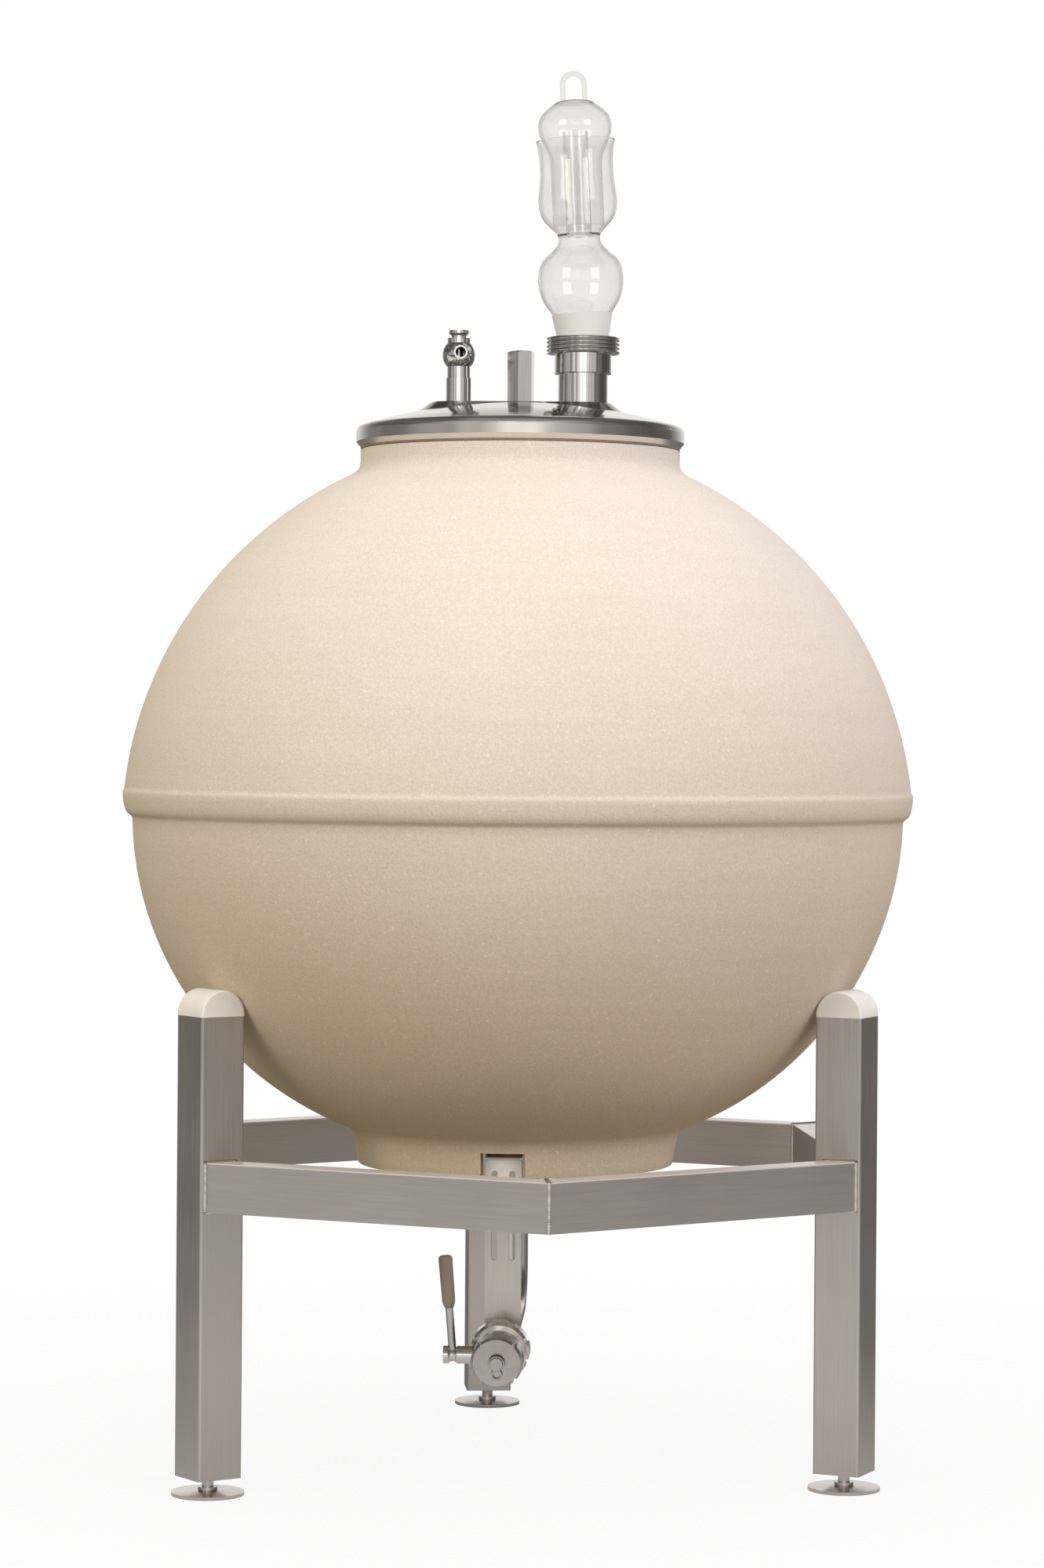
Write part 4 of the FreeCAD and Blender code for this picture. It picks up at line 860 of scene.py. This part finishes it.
class FERMENTER_OT_stage(bpy.types.Operator):
    """Floor, world, lamps and camera"""

    bl_idname = "fermenter.stage"
    bl_label = "Studio"

    def execute(self, context):
        self.floor()
        self.world()
        self.lamps()
        self.camera()
        context.scene.view_settings.view_transform = "Standard"
        return {"FINISHED"}

    def floor(self):
        """Pale floor: white far off, with the object's soft shadow near it."""
        clear_selection()
        place = (0, 0, -FLOOR_GAP * MM)
        bpy.ops.mesh.primitive_circle_add(vertices=96, radius=FLOOR_RADIUS, fill_type="NGON", location=place)
        floor = name_active("studio_floor")
        material = bpy.data.materials.new("pale_floor")
        material.use_nodes = True
        material.node_tree.nodes.clear()
        graph = Graph(material)
        out = graph.add("ShaderNodeOutputMaterial")
        paths = graph.add("ShaderNodeLightPath")
        x = graph.axis("X")
        y = graph.axis("Y")
        away = graph.add("ShaderNodeVectorMath", {"operation": "LENGTH"}, Vector=graph.coords)
        away = away.outputs["Value"]
        bounce = graph.mix(graph.span(x, -0.7, 0.7), BOUNCE_LEFT, BOUNCE_RIGHT)
        bounce = graph.mix(graph.span(away, 0.6, 2.2), bounce, BOUNCE_FAR)
        bounce = graph.mix(paths.outputs["Is Camera Ray"], bounce, FLOOR_GREY)
        soft = graph.add("ShaderNodeBsdfDiffuse", Color=bounce)
        mirrored = graph.mix(graph.span(y, 0.5, -0.8), MIRRORED_BEHIND, MIRRORED_FRONT)
        mirrored = graph.mix(graph.span(y, -1.0, -4.2), mirrored, MIRRORED_FAR)
        mirrored = graph.mix(graph.span(x, 0.8, 2.6, 0.0, 0.6), mirrored, MIRRORED_RIGHT)
        bright = graph.mix(paths.outputs["Is Glossy Ray"], WHITE, mirrored)
        bright = graph.mix(paths.outputs["Is Transmission Ray"], bright, WHITE)
        glow = graph.add("ShaderNodeEmission", Color=bright)
        near = graph.span(away, 0.4, 1.6, 0.92, 1.0)
        seen = graph.either(paths.outputs["Is Camera Ray"], paths.outputs["Is Glossy Ray"])
        seen = graph.either(seen, paths.outputs["Is Transmission Ray"])
        both = graph.blend(graph.times(seen, near), soft, glow)
        graph.link(both.outputs[0], out, "Surface")
        floor.data.materials.append(material)

    def world(self):
        """White backdrop, a bright ceiling for the ball, and a dimmer room for metal to mirror."""
        world = bpy.data.worlds.new("studio_world")
        bpy.context.scene.world = world
        world.use_nodes = True
        world.node_tree.nodes.clear()
        graph = Graph(world)
        direction = graph.add("ShaderNodeTexCoord").outputs["Generated"]
        paths = graph.add("ShaderNodeLightPath")
        lift = graph.span(graph.axis("Z", direction), -0.1, 0.7, 0.50, 1.02)
        side = graph.span(graph.axis("X", direction), -0.7, 0.7)
        ceiling = graph.add("ShaderNodeBackground", Strength=lift)
        graph.link(graph.mix(side, CEILING_LEFT, CEILING_RIGHT), ceiling, "Color")
        mirror = graph.add("ShaderNodeBackground", Color=(*ROOM_TINT, 1.0))
        graph.link(self.mirrored_room(graph, direction), mirror, "Strength")
        white = graph.add("ShaderNodeBackground", Color=(*WHITE, 1.0), Strength=1.0)
        room = graph.blend(paths.outputs["Is Glossy Ray"], ceiling, mirror)
        seen = graph.either(paths.outputs["Is Camera Ray"], paths.outputs["Is Transmission Ray"])
        out = graph.add("ShaderNodeOutputWorld")
        graph.link(graph.blend(seen, room, white).outputs[0], out, "Surface")

    def mirrored_room(self, graph, direction):
        """Brightness that metal mirrors: white behind, a bright window in front, dim at the sides."""
        y = graph.axis("Y", direction)
        behind = graph.span(y, 0.68, 0.95, 0.0, 0.75)
        front = graph.span(y, -0.15, -0.8, 0.22, 0.68)
        window = graph.span(y, -0.90, -0.955, 0.0, 0.8)
        blotches = graph.span(graph.noise(4.4, 2.0, 0.5, direction), 0.40, 0.62, 0.50, 1.60)
        above = graph.span(graph.axis("Z", direction), 0.16, 0.42, 1.0, 0.55)
        right = graph.span(graph.axis("X", direction), 0.45, 0.85, 1.0, 0.6)
        room = graph.plus(front, window)
        for share in (blotches, above, right):
            room = graph.times(room, share)
        return graph.plus(room, behind)

    def lamps(self):
        """Three softboxes: one overhead, a warm one on the left and a cooler one on the right."""
        for row in LAMPS:
            self.lamp(*row)

    def lamp(self, name, place, target, size, power, colour):
        clear_selection()
        bpy.ops.object.light_add(type="AREA", location=place)
        lamp = bpy.context.active_object
        lamp.name = name
        lamp.data.shape = "SQUARE"
        lamp.data.size = size
        lamp.data.energy = power
        lamp.data.color = colour
        lamp.visible_glossy = False
        aim = Vector(target) - Vector(place)
        lamp.rotation_euler = aim.to_track_quat("-Z", "Y").to_euler()

    def camera(self):
        """Camera level with the ball's middle, turned a little about its own view."""
        bpy.ops.object.camera_add(location=CAMERA_PLACE)
        camera = bpy.context.active_object
        camera.name = "photo_camera"
        turn = Matrix.Rotation(math.radians(90), 4, "X") @ Matrix.Rotation(CAMERA_ROLL, 4, "Z")
        camera.rotation_euler = turn.to_euler()
        camera.data.sensor_width = SENSOR
        camera.data.lens = SENSOR * FOCAL_PIXELS / PICTURE_HEIGHT
        camera.data.shift_y = -(PICTURE_HEIGHT / 2 - HORIZON_ROW) / PICTURE_HEIGHT
        camera.data.clip_end = 100.0
        bpy.context.scene.camera = camera


OPERATORS = [
    FERMENTER_OT_stage, FERMENTER_OT_ball, FERMENTER_OT_stand, FERMENTER_OT_welds, FERMENTER_OT_lid,
    FERMENTER_OT_nut, FERMENTER_OT_ferrule, FERMENTER_OT_airlock, FERMENTER_OT_drain,
]


class FERMENTER_PT_sidebar(bpy.types.Panel):
    """Lists the fermenter's sizes, colours and steps"""

    bl_idname = "FERMENTER_PT_sidebar"
    bl_label = "Fermenter"
    bl_space_type = "VIEW_3D"
    bl_region_type = "UI"
    bl_category = "Fermenter"

    def draw(self, context):
        for group in (context.scene.fermenter_sizes, context.scene.fermenter_colours):
            for key in group.bl_rna.properties.keys():
                if key not in ("rna_type", "name"):
                    self.layout.prop(group, key)
        for operator in OPERATORS:
            self.layout.operator(operator.bl_idname)


CLASSES = [FermenterSizes, FermenterColours, *OPERATORS, FERMENTER_PT_sidebar]


def register():
    for cls in CLASSES:
        bpy.utils.register_class(cls)
    bpy.types.Scene.fermenter_sizes = PointerProperty(type=FermenterSizes)
    bpy.types.Scene.fermenter_colours = PointerProperty(type=FermenterColours)


def unregister():
    del bpy.types.Scene.fermenter_colours
    del bpy.types.Scene.fermenter_sizes
    for cls in reversed(CLASSES):
        bpy.utils.unregister_class(cls)


def main():
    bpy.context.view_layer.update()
    register()
    bpy.ops.fermenter.stage()
    bpy.ops.fermenter.ball()
    bpy.ops.fermenter.stand()
    bpy.ops.fermenter.welds()
    bpy.ops.fermenter.lid()
    bpy.ops.fermenter.nut()
    bpy.ops.fermenter.ferrule()
    bpy.ops.fermenter.airlock()
    bpy.ops.fermenter.drain()


if __name__ == "__main__":
    main()
